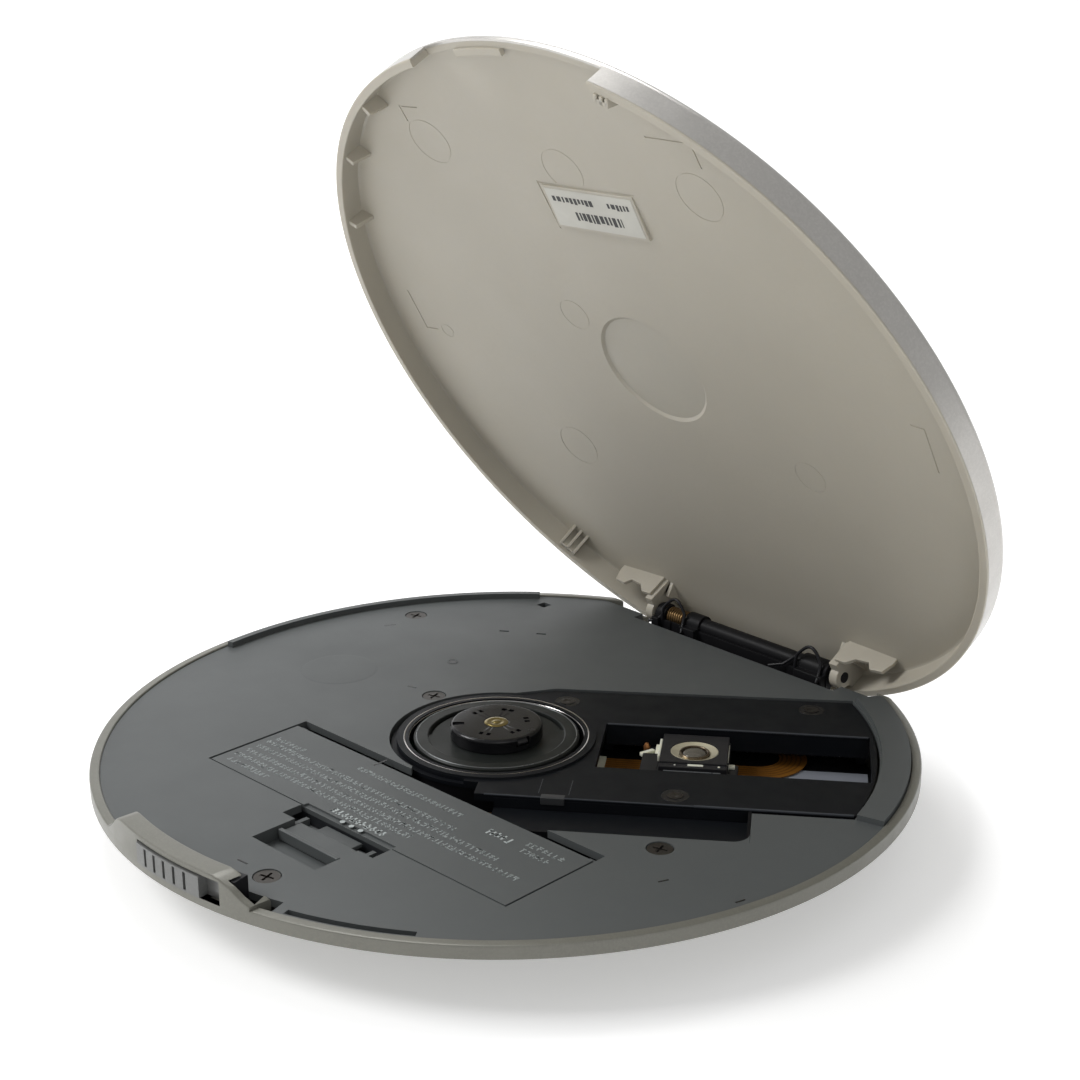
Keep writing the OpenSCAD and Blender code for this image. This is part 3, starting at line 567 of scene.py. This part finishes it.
def build_lid_parts():
    """Hinge arms with their gussets, ribs on the wall and lugs."""
    parts = Shape(LID)
    for x in ARM_X:
        outline = [(HINGE.y + 3.9, 4.4), (HINGE.y + 3.9, 1.2), (HINGE.y + 2.2, 0.2)]
        outline += [(HINGE.y + 2.1 * math.cos(a), 2.1 * math.sin(a))
                    for a in (math.radians(-d) for d in range(10, 181, 14))]
        outline += [(HINGE.y - 2.1, 1.6), (HINGE.y - 3.4, 5.0)]
        parts.prism(outline, x - ARM_HALF, x + ARM_HALF, place=ALONG_X, round_by=0.18)
        for s in (-1, 1):
            web = [(HINGE.y - 1.8, 2.4), (HINGE.y - 3.6, 5.3), (HINGE.y + 3.4, 4.6)]
            parts.prism(web, x + s * 1.5 - 0.4, x + s * 1.5 + 0.4, place=ALONG_X, round_by=0.1)
    web_top = 4.9
    for x, way in zip(ARM_X, (-1, 1)):
        web = [(0, 0.2), (2.2, 0.2), (3.6, 1.6), (6.2, 1.9), (7.2, 0.6), (9.6, 0.9), (10.4, 3.2)]
        web = [(x + way * u, z) for u, z in web + [(10.4, web_top), (0, web_top)]]
        parts.prism(web, HINGE.y - 4.2, HINGE.y - 3.5, place=ALONG_Y, round_by=0.1)
        left, right = x - ARM_HALF, x + ARM_HALF
        tongue = [(left, -0.6), (right, -0.6), (right, web_top), (left, web_top)]
        parts.prism(tongue, HINGE.y - 3.6, HINGE.y - 1.9, place=ALONG_Y, round_by=0.15)
    for a in (-124.3, -139, -154.7):
        parts.prism([(62.4, 0.7), (64.3, 0.7), (64.4, 4.3), (61.6, 4.3)], -0.45, 0.45,
                    place=turn(a) @ turn(90, "X"), round_by=0.12)
    for a, w, foot in ((131.5, 1.6, 0.6), (-69.2, 1.0, -0.3)):
        upright = turn(a) @ turn(90, "X")
        for s in (-1, 0, 1):
            parts.prism([(62.8, foot), (64.3, foot), (64.4, 4.3), (60.9, 4.5)],
                        s * w - 0.3, s * w + 0.3, place=upright, round_by=0.1)
        plate = [(62.9, foot), (63.6, foot), (63.7, 4.3), (62.9, 4.3)]
        parts.prism(plate, -w, w, place=upright, round_by=0.1)
    parts.make("lid_arms_and_ribs", "lid_cream", "lid", sharp=40)


def build_label():
    """Shallow pad and a plate with two greeked rows."""
    pad = Shape(LABEL)
    pad.box((-9.9, -4.0, 0.0), (9.9, 4.0, 0.7), round_by=0.12)
    pad.make("label_pad", "lid_cream", "lid")
    label = Shape(LABEL)
    label.box((-9.4, -3.5, -0.06), (9.4, 3.5, 0.02), round_by=0.02)
    label.make("label_plate", "label_grey", "lid", ["lid_label"])
    rows = Shape(LABEL)
    rng = random.Random(5)
    for y, high, x0, x1 in ((-1.6, 1.15, -8.3, 8.2), (1.3, 1.7, -4.4, 5.6)):
        x = x0
        while x < x1:
            w = rng.uniform(0.35, 0.8)
            if not (y < 0 and 0.6 < x < 3.0):
                top = y + high / 2 - rng.uniform(0, 0.3)
                rows.box((x, y - high / 2, -0.085), (min(x + w, x1), top, -0.05))
            x += w + rng.uniform(0.25, 0.4)
    rows.make("label_rows", "print_dark", "lid")


# ---- case --------------------------------------------------------------------------
POD_R, POD_A, POD_B = 54.5, Vector((0, 12)), Vector((-14, 10))
RIM_TOP, RIM_DEEP, FOOT_H = DECK + 0.3, 1.6, 0.6


def low_point(n, r):
    mid = POD_A if POD_A.dot(n) > POD_B.dot(n) else POD_B
    return mid + n * r


def slide_slot():
    """The slot that the opening slide runs in, cut from the rim and from the housing over it."""
    low, high = DECK - 0.55, DECK + 3.05
    return Shape().lathe([(63, low), (BIG, low), (BIG, high), (63, high)], 24, -93.1, -77.1)


def build_case():
    """The painted shell, in rows of points: up its inside, over the rim and down its outside."""
    steps = 360
    slope_top = RIM_TOP - RIM_DEEP - 0.3
    edge = 2.0             # rounding between the slope and the underside
    angles = [2 * math.pi * k / steps for k in range(steps)]
    normals = [Vector((math.cos(a), math.sin(a))) for a in angles]

    def circle(r, z):
        return [(n.x * r, n.y * r, z) for n in normals]

    def side(share, inset=0.0):
        """A row part of the way down the sloping side, held inside the round shell."""
        row = []
        for n in normals:
            a = Vector((*(n * (SHELL_R + 0.4 - inset)), slope_top))
            b = Vector((*low_point(n, POD_R - inset), FOOT_H + edge + inset * 0.5))
            lo, hi = 0.0, 1.0
            flat = SHELL_R - inset
            if Vector(b[:2]).length > flat:
                p = a.lerp(b, share)
                v = Vector(p[:2])
                v = v.normalized() * min(v.length, flat)
                row.append((v.x, v.y, p.z))
                continue
            for _ in range(30):
                mid = (lo + hi) / 2
                if Vector(a.lerp(b, mid)[:2]).length > flat:
                    lo = mid
                else:
                    hi = mid
            row.append(tuple(a.lerp(b, hi + (1 - hi) * share)))
        return row

    def under(angle, inset=0.0):
        """A row round the bend between the slope and the underside; 90 degrees is the underside."""
        e = edge - inset
        s, c = math.sin(math.radians(angle)), math.cos(math.radians(angle))
        row = []
        for n in normals:
            p = low_point(n, POD_R - inset - e * (1 - c))
            if p.length > SHELL_R - inset:
                p = p.normalized() * (SHELL_R - inset)
            row.append((p.x, p.y, FOOT_H + inset * 0.65 + e * (1 - s)))
        return row

    outer = [circle(DECK_R + 0.05, DECK - 1.2), circle(DECK_R + 0.05, RIM_TOP - 0.15),
             circle(DECK_R + 0.2, RIM_TOP), circle(SHELL_R - 0.35, RIM_TOP),
             circle(SHELL_R - 0.1, RIM_TOP - 0.1), circle(SHELL_R, RIM_TOP - 0.35)]
    outer += [side(s) for s in (0, 0.02, 0.25, 0.5, 0.75, 1.0)]
    outer += [under(a) for a in (15, 30, 45, 60, 75, 90)]
    inset = 1.7            # the wall's thickness
    inner = [under(a, inset) for a in (90, 45)] + [side(s, inset) for s in (1.0, 0.5, 0.0)]
    inner += [circle(SHELL_R - inset, DECK - 1.2)]
    inner = [[(x, min(y, REAR_Y - 1.6), z) for x, y, z in row] for row in inner]
    rows = inner + outer
    points = [p for row in rows for p in row]
    faces = []
    for j in range(len(rows) - 1):
        for k in range(steps):
            q = (k + 1) % steps
            faces.append((j * steps + k, j * steps + q, (j + 1) * steps + q, (j + 1) * steps + k))
    last = (len(rows) - 1) * steps
    faces.append(list(range(steps)))
    faces.append(list(range(last, last + steps)))
    shell = Shape().add(points, faces)
    knife = Shape()
    knife.box((-BIG, REAR_Y, -10), (BIG, BIG, 60))
    knife.box((ARM_X[0] - 1.8, 52.2, DECK - 3.4), (ARM_X[1] + 1.8, REAR_Y + 1, 40))
    walls = Shape()
    for a, r in ((141, 3.0), (150, 2.6)):
        walls.disc(r, SHELL_R - 6, SHELL_R + 2, place=turn(a) @ at(0, 0, KEY_Z) @ turn(90, "Y"))
    walls.box((SHELL_R - 5, -4.6, -1.3), (SHELL_R + 2, 4.6, 1.3), place=turn(158.5) @ at(0, 0, KEY_Z))
    for a in (167.5, 175, 182.5, 190):
        walls.prism(pill(6.9, 3.3), SHELL_R - 5, SHELL_R + 2, place=turn(a) @ at(0, 0, KEY_Z) @ ALONG_X)
    cuts = [knife, walls, slide_slot()]
    shell.make("case_shell", "case_paint", "base", ["lower_case"], cuts=cuts, sharp=30)


def pill(w, h, steps=12):
    out = []
    for s, a0 in ((1, -90), (-1, 90)):
        for k in range(steps + 1):
            t = math.radians(a0 + 180 * k / steps)
            out.append((s * (w - h) / 2 + h / 2 * math.cos(t), h / 2 * math.sin(t)))
    return out


def build_housing():
    """The raised part of the rim over the open switch, its ends swept down to the rim."""
    tops = [(-15.0, 0.3), (-14.0, 0.55), (-12.5, 1.6), (-11.0, 3.0), (-10.0, 3.6), (-9.0, 3.8),
            (0, 3.8), (13.2, 3.8), (14.4, 3.5), (16.5, 2.6), (18.0, 1.6), (19.6, 0.8)]
    rows, points, faces = [], [], []
    for (xa, ha), (xb, hb) in zip(tops, tops[1:]):
        parts = 8 if xb - xa > 3 else 3
        for k in range(parts):
            t = k / parts
            rows.append((xa + (xb - xa) * t, ha + (hb - ha) * t))
    rows.append(tops[-1])
    r0, r1, e = 62.2, SHELL_R - 0.02, 0.3
    for x, h in rows:
        z = DECK + h
        for r, q in ((r0, DECK - 0.9), (r1, DECK - 0.9), (r1, z - e), (r1 - e * 0.3, z - e * 0.3),
                     (r1 - e, z), (r0 + e, z), (r0 + e * 0.3, z - e * 0.3), (r0, z - e)):
            points.append((x, -math.sqrt(r * r - x * x), q))
    for i in range(len(rows) - 1):
        for j in range(8):
            a, b = 8 * i + j, 8 * i + (j + 1) % 8
            faces.append((a, b, b + 8, a + 8))
    n = 8 * (len(rows) - 1)
    faces += [list(range(8)), list(range(n, n + 8))]
    body = Shape().add(points, faces)
    low, high = DECK - 2, DECK + 3.15
    hook_room = Shape().lathe([(61, low), (64.5, low), (64.5, high), (61, high)], 12, -79.5, -72.4)
    body.make("switch_housing", "case_paint", "base", cuts=[slide_slot(), hook_room], sharp=35)


def build_deck():
    for n in ("deck_plate", "battery_door", "door_latch", "hold_switch", "headphone_jack", "dc_jack",
              "rubber_feet"):
        refine(n, 0.13)
    refine("open_slide", 0.08)
    refine("latch_hook", 0.1)
    for n in ("play_button", "stop_button", "volume_up", "volume_down"):
        refine(n, 0.22, sharp=50)

    # Faint sink circle, a dimple and short moulding marks in the deck; the marks and the dimple's middle are
    # dark inlays, painted shade of shallow recesses
    sink = Shape(at(-40.3, -3.6, DECK))
    sink.lathe([(0, -0.1), (6.5, -0.1), (6.7, 0.0), (6.2, 0.07), (3, 0.13), (0, 0.14)], 72)
    sink.make("deck_sink_mark", "deck_plastic", "base", sharp=60)
    ring = Shape(at(-29.5, 13.2, DECK))
    ring.lathe([(0.7, -0.1), (1.05, -0.1), (1.0, 0.06), (0.8, 0.06)], 40)
    ring.make("deck_dimple_ring", "deck_plastic", "base")
    marks = Shape()
    for x, y, a, w in ((-51.2, 16.1, 62, 2.2), (-25.5, 0.8, 20, 1.7), (7.1, -55.2, 8, 2.0),
                       (50.6, -16.0, 70, 1.6), (61.4, -12.4, 78, 1.6)):
        marks.box((-w / 2, -0.16, -0.05), (w / 2, 0.16, 0.02), place=at(x, y, DECK) @ turn(a))
    marks.box((-0.15, -1.4, -0.05), (0.15, 1.4, 0.02), place=at(-5.4, -21.4, DECK - 0.05) @ turn(3))
    marks.disc(0.62, -0.05, 0.02, place=at(-29.5, 13.2, DECK), segments=32)
    marks.make("deck_marks", "hub_black", "base")


PRINT_T = 0.022
PRINT_PLACE = DOOR @ at(0, 0, DECK - 0.055)


def greek(shape, rng, y, x0, x1, high=1.05, thick=0.2):
    """One row of print, greeked: each sign is two or three short strokes."""
    x = x0
    while x < x1 - 0.5:
        w = rng.uniform(0.5, 0.85)
        lift = rng.uniform(-0.08, 0.08)
        for k in range(rng.choice((1, 2, 2, 3))):
            ly = y + lift + high * (rng.random() - 0.5)
            shape.box((x, ly - thick / 2, 0), (x + w, ly + thick / 2, PRINT_T))
        lx = x + rng.uniform(0, w - thick)
        shape.box((lx, y + lift - high / 2, 0), (lx + thick, y + lift + high / 2, PRINT_T))
        x += w + rng.uniform(0.22, 0.42)


def build_print():
    rng = random.Random(11)
    rows = Shape(PRINT_PLACE)
    for y, x0, x1 in ((4.5, -13.5, 10.0), (2.5, -31.2, -24.2), (0.8, -31.6, 12.0), (-1.2, -31.4, 23.5),
                      (-3.3, -31.6, 29.5), (-5.2, -31.7, 9.5), (-7.3, -31.0, -20.5), (5.0, 22.8, 29.6),
                      (3.1, 23.4, 29.0)):
        greek(rows, rng, y, x0, x1)
    rows.make("door_print", "print_light", "battery_door")
    bold = Shape(PRINT_PLACE)
    for y, x0, x1 in ((3.9, 15.8, 20.6), (-7.3, -5.4, 6.4)):
        greek(bold, rng, y, x0, x1, 1.3, 0.32)
    for x in (-1.4, 0.6, 2.6):
        bold.disc(0.42, 0, PRINT_T, place=at(x, -8.85, 0), segments=24)
    bold.make("door_print_bold", "print_bright", "battery_door")


def build_drive():
    # Turntable: a dished plate with a raised friction ring, a thin lighter ring on its edge as painted
    # highlight, and two arc slots
    table = Shape(at(*SPINDLE))
    table.lathe([(0.76, 8.92), (5, 8.92), (5, 9.5), (13.05, 9.5), (13.28, 9.7), (13.28, 10.25),
                 (13.1, 10.42), (12.7, 10.46), (11.1, 10.46), (10.95, 10.36), (10.9, 10.16),
                 (10.4, 10.08), (8.2, 10.08), (0.76, 10.12)], 128)
    slots = Shape(at(*SPINDLE))
    for a0, a1 in ((176, 226), (58, 103)):
        slots.lathe([(10.35, 9.62), (10.85, 9.62), (10.85, 11), (10.35, 11)], 24, a0, a1)
    table.make("turntable_dish", "table_grey", "spindle", ["turntable"], cut=slots)
    edge = Shape(at(*SPINDLE)).ring(12.78, 12.96, 10.4, 10.5, 0.03, 128)
    edge.make("turntable_edge", "edge_bright", "spindle")

    # Hub: a glossy drum with paired notches, pockets for the claws and a brass bush
    hub = Shape(at(*SPINDLE))
    hub.lathe([(1.97, 10.14), (7.3, 10.14), (7.4, 10.25), (7.4, 11.95), (7.34, 12.2), (7.15, 12.4),
               (6.85, 12.49), (2.2, 12.5), (1.97, 12.4)], 128)
    cuts = Shape(at(*SPINDLE))
    broad, recess = 117, 237               # one pair of notches is broader, and one is a recess instead
    for a in range(-3, 357, 60):
        half = 0.42 if a == broad else 0.32
        if a == recess:
            continue
        for side in (-0.62, 0.62):
            cuts.box((4.45, side - half, 12.0), (5.3, side + half, 14), place=turn(a))
    cuts.lathe([(5.2, 11.7), (7.05, 11.7), (7.05, 14), (5.2, 14)], 6, 228, 239)
    claw_angles = (-6, 114, 234)
    for a in claw_angles:
        cuts.box((5.2, -1.25, 11.05), (9, 1.25, 12.3), place=turn(a))
    hub.make("hub_drum", "hub_black", "spindle", ["hub_cap"], cut=cuts, sharp=40)
    claws = Shape(at(*SPINDLE))
    for a in claw_angles:
        tongue = [(5.3, 11.15), (7.1, 11.15), (7.34, 11.4), (7.34, 11.65), (6.9, 12.1), (5.3, 12.2)]
        claws.prism(tongue, -0.95, 0.95, place=turn(a) @ turn(90, "X"), round_by=0.08)
    claws.make("hub_claw_tongues", "claw_black", "spindle", ["hub_claws"])
    bush = Shape(at(*SPINDLE))
    bush.lathe([(0.76, 10.3), (1.93, 10.3), (1.93, 12.45), (1.75, 12.56), (1.25, 12.6), (1.0, 12.52),
                (0.76, 12.5)], 64)
    bush.lathe([(0, 12.1), (0.78, 12.1), (0.78, 12.5), (0.62, 12.58), (0.4, 12.65), (0, 12.68)], 40)
    bush.make("bush_and_tip", "bush_brass", "spindle", ["centre_bush"])

    # Drive plate with a polished bevel inside its collar, and lips and seam lines painted lighter grey as
    # painted highlight
    refine("mechanism_chassis", 0.1)
    bevel = Shape(at(*SPINDLE))
    bevel.lathe([(14.02, 9.8), (14.3, 9.8), (14.9, 10.2), (14.9, 10.38), (14.8, 10.4), (14.06, 10.06),
                 (14.02, 10.0)], 160)
    bevel.make("collar_bevel", "collar_polish", "base", sharp=60)
    lips = Shape(TRACK)
    lips.tube([(17.2, 7.12, 9.98), (59.1, 7.12, 9.98)], 0.17)
    lips.tube([(1.5, -20.72, 9.95), (33, -20.72, 9.95)], 0.14)
    lips.tube([(33, -20.72, 9.98), (56.4, -20.72, 9.98)], 0.22)
    lips.make("plate_lips", "lip_grey", "base")
    tab = Shape(TRACK)
    tab.box((10.1, -21.1, 8.9), (13.7, -19.7, 10.07), round_by=0.12)
    tab.make("plate_tab", "tab_grey", "base")
    seam = Shape(TRACK)
    for u, v0, v1 in ((9.6, -19.5, -14.5), (14.2, -19.6, -14.5)):
        seam.box((u - 0.05, v0, 9.98), (u + 0.05, v1, 10.025))
    seam.make("plate_seams", "lip_grey", "base")
    refine("chassis_screws", 0.1)
    # dark rings round the chassis screws: painted shade of their recesses
    dark = Shape(TRACK)
    for u, v in ((9.5, 15.2), (50, 17), (30, -17.6)):
        dark.ring(1.25, 2.1, 9.97, 10.02, 0.01, 40, place=at(u, v, 0))
    dark.make("screw_recesses", "hub_black", "base")

    # near-black walls in the pocket and a curved skirt beside the turntable: painted shade
    pocket = Shape(TRACK)
    pocket.box((41.05, -31.3, 4.6), (41.55, -20.9, DECK - 0.35))
    pocket.box((-10.5, -31.45, 4.6), (41.5, -31.0, DECK - 0.35))
    pocket.lathe([(16.2, 4.8), (16.7, 4.8), (16.7, 8.7), (16.2, 8.7)], 48, -165, -42)
    pocket.make("pocket_walls", "pit_black", "base")
    fillet = Shape(TRACK @ at(38.9, -28.8, 0))
    bend = [math.radians(-a) for a in range(0, 91, 10)]
    bend = [(2.65 * math.cos(a), 2.65 * math.sin(a)) for a in bend]
    fillet.prism(bend + [(2.66, -2.66)], 6, DECK - 0.02)
    fillet.make("pocket_fillet", "deck_plastic", "base")

    # Under the window: a tray painted near black as painted shade, the ribbon's stiffener and a pale insulating
    # strip
    tray = Shape(TRACK)
    tray.prism([(12.6, -13.5), (48, -13.5), (56, -8), (60, 0), (60, 9), (56, 19.6), (21, 19.6), (18, 12.5),
                (12.6, 8)], 3.28, 3.42, round_by=0.04)
    tray.make("window_tray", "pit_black", "base")
    strip = Shape(TRACK)
    strip.box((15.1, 2.4, 3.5), (59.3, 6.9, 3.74), round_by=0.05)
    strip.make("pale_strip", "grey_tape", "base")
    end = Shape(TRACK)
    end.box((15.1, 2.35, 3.86), (17.1, 6.75, 4.35), round_by=0.08)
    end.make("ribbon_stiffener", "white_clip", "base")
    traces = Shape(TRACK)
    low, high = 4.04, 4.062
    for k in range(5):
        v = 2.9 + 0.75 * k
        r0, r1 = 3.95 + 0.75 * k, 4.23 + 0.75 * k
        traces.box((17.2, v, low), (41.6, v + 0.28, high))
        traces.lathe([(r0, low), (r1, low), (r1, high), (r0, high)], 40, -90, 90, place=at(41.5, 10.3, 0))
    traces.make("ribbon_traces", "trace_copper", "base")


def build_pickup():
    place = TRACK @ at(LENS_U, 0, 0)
    oval = Matrix.Diagonal((1, 0.93, 1, 1))
    refine("sled_base", 0.12)
    cover = Shape(place)
    cover.box((-5.3, -4.5, 8.15), (5.3, 6, 9.35), round_by=0.14)
    cover.box((-5.3, -6, 8.15), (5.3, -4.55, 9.15), round_by=0.12)
    hole = Shape(place)
    hole.lathe([(0, 7), (3.85, 7), (3.85, 9.15), (4.05, 10), (0, 10)], 72, place=oval)
    cover.make("pickup_block", "pickup_black", "sled", ["pickup_cover"], cut=hole)

    cup = Shape(place @ oval)
    cup.lathe([(2.5, 8.32), (3.75, 8.32), (3.78, 9.26), (3.7, 9.3), (3.5, 9.22), (2.75, 8.86),
               (2.5, 8.84)], 72)
    cup.make("lens_cup_dish", "lens_cup", "lens", ["lens_holder"])
    barrel = Shape(place)
    barrel.lathe([(2.0, 8.4), (2.42, 8.4), (2.42, 9.1), (2.3, 9.2), (2.12, 9.22), (2.0, 9.12)], 64)
    barrel.make("lens_barrel", "barrel_bronze", "lens")
    lens = Shape(place)
    dome_angles = [math.radians(a) for a in range(9, 90, 9)]
    curve = [(1.9 * math.cos(a), 8.86 + 0.55 * math.sin(a)) for a in dome_angles]
    lens.lathe([(0, 8.6), (1.98, 8.6), (1.98, 8.86)] + curve + [(0, 9.41)], 64)
    lens.make("lens_dome", "lens_glass", "lens", ["objective_lens"], sharp=60)

    clips = Shape(place)
    clips.box((-5.75, -1.8, 7.2), (-5.35, 4.6, 9.05), round_by=0.1)
    clips.box((-6.4, -1.8, 7.0), (-5.6, 4.6, 8.0), round_by=0.12)
    clips.box((5.32, -1.2, 7.4), (5.44, 3.6, 9.0), round_by=0.04)
    clips.box((5.45, -2.6, 7.4), (6.5, -1.6, 8.1), round_by=0.12)
    clips.box((-0.8, -5.35, 9.1), (1.65, -4.75, 9.24), round_by=0.05)
    for x, r in ((-2.8, 0.16), (4.1, 0.2)):
        clips.disc(r, 9.1, 9.22, 0.03, 20, place=at(x, -5.2, 0))
    bar = at(-7.7, 2.6, 7.4) @ turn(42)
    clips.box((-1.3, -0.4, -0.4), (1.3, 0.4, 0.25), place=bar, round_by=0.12)
    clips.make("pickup_white_parts", "white_clip", "sled")
    tip = Shape(place @ at(-8.0, 4.9, 6.8))
    tip.lathe([(0, 0), (0.5, 0), (0.55, 0.6), (0.3, 1.15), (0, 1.3)], 24)
    tip.make("pickup_copper_tip", "stator_copper", "sled")
    # a light line along the cover's front edge: painted highlight
    wire = Shape(place)
    wire.tube([(-4.5, -6.12, 8.5), (4.4, -6.12, 8.5)], 0.15)
    wire.box((-8.3, -5.9, 6.9), (-5.6, -2.6, 7.6), round_by=0.12)
    wire.make("pickup_front_line", "edge_bright", "sled")
    low = Shape(place)
    low.box((-8.3, -6.1, 6.8), (-5.5, 1.0, 8.1), round_by=0.2)
    low.box((5.55, -5.6, 6.4), (7.0, -1.0, 7.7), round_by=0.15)
    low.make("pickup_side_block", "pickup_black", "sled")
    refine("screw_follower", 0.1)


def build_hinge():
    refine("hinge_bracket", 0.2)
    axis = at(*HINGE)
    spring = Shape(axis)
    turns, pitch, steps, radius = 9, 0.54, 26, 1.5
    coil = []
    for k in range(turns * steps + 1):
        a = 2 * math.pi * k / steps
        coil.append((-17.5 + pitch * k / steps, radius * math.cos(a), radius * math.sin(a)))
    spring.tube(coil, 0.23, 8)
    spring.make("torsion_coil", "spring_bronze", "base", ["torsion_spring"], sharp=60)
    hooks = Shape(axis)

    def loop(x0, x1, lean, reach):
        """A bent wire: it rises beside the shaft, bends over it and runs down to the deck's edge."""
        path = [(x0, -1.9, -2.2), (x0, -2.3, 0.3)]
        for k in range(11):
            bow = math.sin(math.pi * k / 10)
            path.append((x0 + (x1 - x0) * k / 10, -1.9 + lean * bow, 2.0 + 2.1 * bow))
        path += [(x1, -2.3, 0.3), (x1 + reach, -3.6, -1.0)]
        hooks.tube(path, 0.3, 8)

    loop(-17.9, -12.6, 0.4, 0.8)
    loop(14.2, 19.6, 0.4, 0.5)
    hooks.tube([(9.2, -3.4, -1.0), (11.8, -2.6, -0.2), (13.4, -1.9, 1.2), (14.2, -1.6, 1.9)], 0.28, 8)
    hooks.tube([(-20.4, -3.3, -1.0), (-18.8, -2.7, -0.5), (-17.9, -2.1, 0.6)], 0.28, 8)
    hooks.make("hinge_wire_hooks", "hook_black", "base", sharp=60)
    sill = Shape()
    sill.box((-20.2, 54.5, DECK - 1.6), (20.9, 56.2, DECK + 0.55), round_by=0.15)
    for x0, x1 in ((-20.3, -15.9), (12.2, 17.8)):
        sill.box((x0, 54.2, DECK - 1.2), (x1, 56.2, HINGE.z - 0.3), round_by=0.25)
    sill.make("hinge_sill", "bracket_black", "base")
    sleeves = Shape(axis)
    for x0, x1, r in ((-9.3, 14.7, 1.55), (-20.3, -17.9, 1.75)):
        profile = [(1.02, x0), (r - 0.1, x0), (r, x0 + 0.1), (r, x1 - 0.1), (r - 0.1, x1), (1.02, x1)]
        sleeves.lathe(profile, 48, place=turn(90, "Y"))
    sleeves.make("shaft_sleeves", "bracket_black", "base")


# looks of nodes that stay as they were packed and differ from their slot's look; oiled_steel is a darker copy
# of steel, painted shade for the shafts and the motor down in the mechanism
REST_LOOK = {"guide_shaft": "oiled_steel", "lead_screw": "oiled_steel", "hinge_shaft": "hook_black",
             # lid_switch takes the near black of painted shade in its recess
             "sled_motor": "oiled_steel", "lid_switch": "pit_black"}


def build_rest():
    """Refines the deck's screws and paints the nodes that no piece replaces."""
    refine("deck_screws", 0.14)
    for o in frame["nodes"].values():
        if not o.hide_render:
            paint(o, REST_LOOK.get(o.name, NODE_LOOK[o.name]))


build_lid()
build_case()
build_housing()
build_deck()
build_print()
build_drive()
build_pickup()
build_hinge()
build_rest()


def build_stage():
    """The floor with a wall behind it, joined by a round bend. Its sizes are in metres."""
    size, lift, depth, bend = 1.6, 0.9, 1.1, 0.3
    floor = Shape()
    angles = [math.radians(a) for a in range(0, 91, 10)]
    curve = [(depth + bend * math.sin(a), bend - bend * math.cos(a)) for a in angles]
    line = [(-size, 0.0)] + curve + [(depth + bend, lift)]
    points = [(x / MM, y / MM, z / MM) for x in (-size, size) for y, z in line]
    n = len(line)
    floor.add(points, [(i, i + 1, n + i + 1, n + i) for i in range(n - 1)], place=turn(47.9))
    data = floor.mesh("floor")
    o = bpy.data.objects.new("floor", data)
    bpy.context.scene.collection.objects.link(o)
    look = surface("floor", (0.86, 0.86, 0.86), 0.7, vary=0.01, vary_size=200, grain=1.5, bump=0.01)
    glow = look.node_tree.nodes["Principled BSDF"]
    glow.inputs["Emission Color"].default_value = (1, 1, 1, 1)
    glow.inputs["Emission Strength"].default_value = 0.35
    o.data.materials.append(look)


def lamp(name, place, aim, size, power, color=(1, 1, 1)):
    data = bpy.data.lights.new(name, "AREA")
    data.shape, data.size, data.size_y = "RECTANGLE", size[0], size[1]
    data.energy, data.color = power, color
    o = bpy.data.objects.new(name, data)
    bpy.context.scene.collection.objects.link(o)
    o.location = place
    o.rotation_mode = "QUATERNION"
    o.rotation_quaternion = (Vector(aim) - Vector(place)).to_track_quat("-Z", "Y")


build_stage()
AIM = (0, 0, 0.05)
lamp("key", (-0.66, -0.62, 0.84), AIM, (0.6, 0.5), 9)
lamp("fill", (0.9, -0.5, 0.45), AIM, (0.6, 0.6), 0.8)
lamp("top", (-0.55, 0.40, 1.1), AIM, (0.7, 0.5), 6)
world = bpy.data.worlds.new("world")
bpy.context.scene.world = world
world.use_nodes = True
world.node_tree.nodes["Background"].inputs["Color"].default_value = (1, 1, 1, 1)
world.node_tree.nodes["Background"].inputs["Strength"].default_value = 0.42
bpy.context.scene.view_settings.view_transform = "Standard"
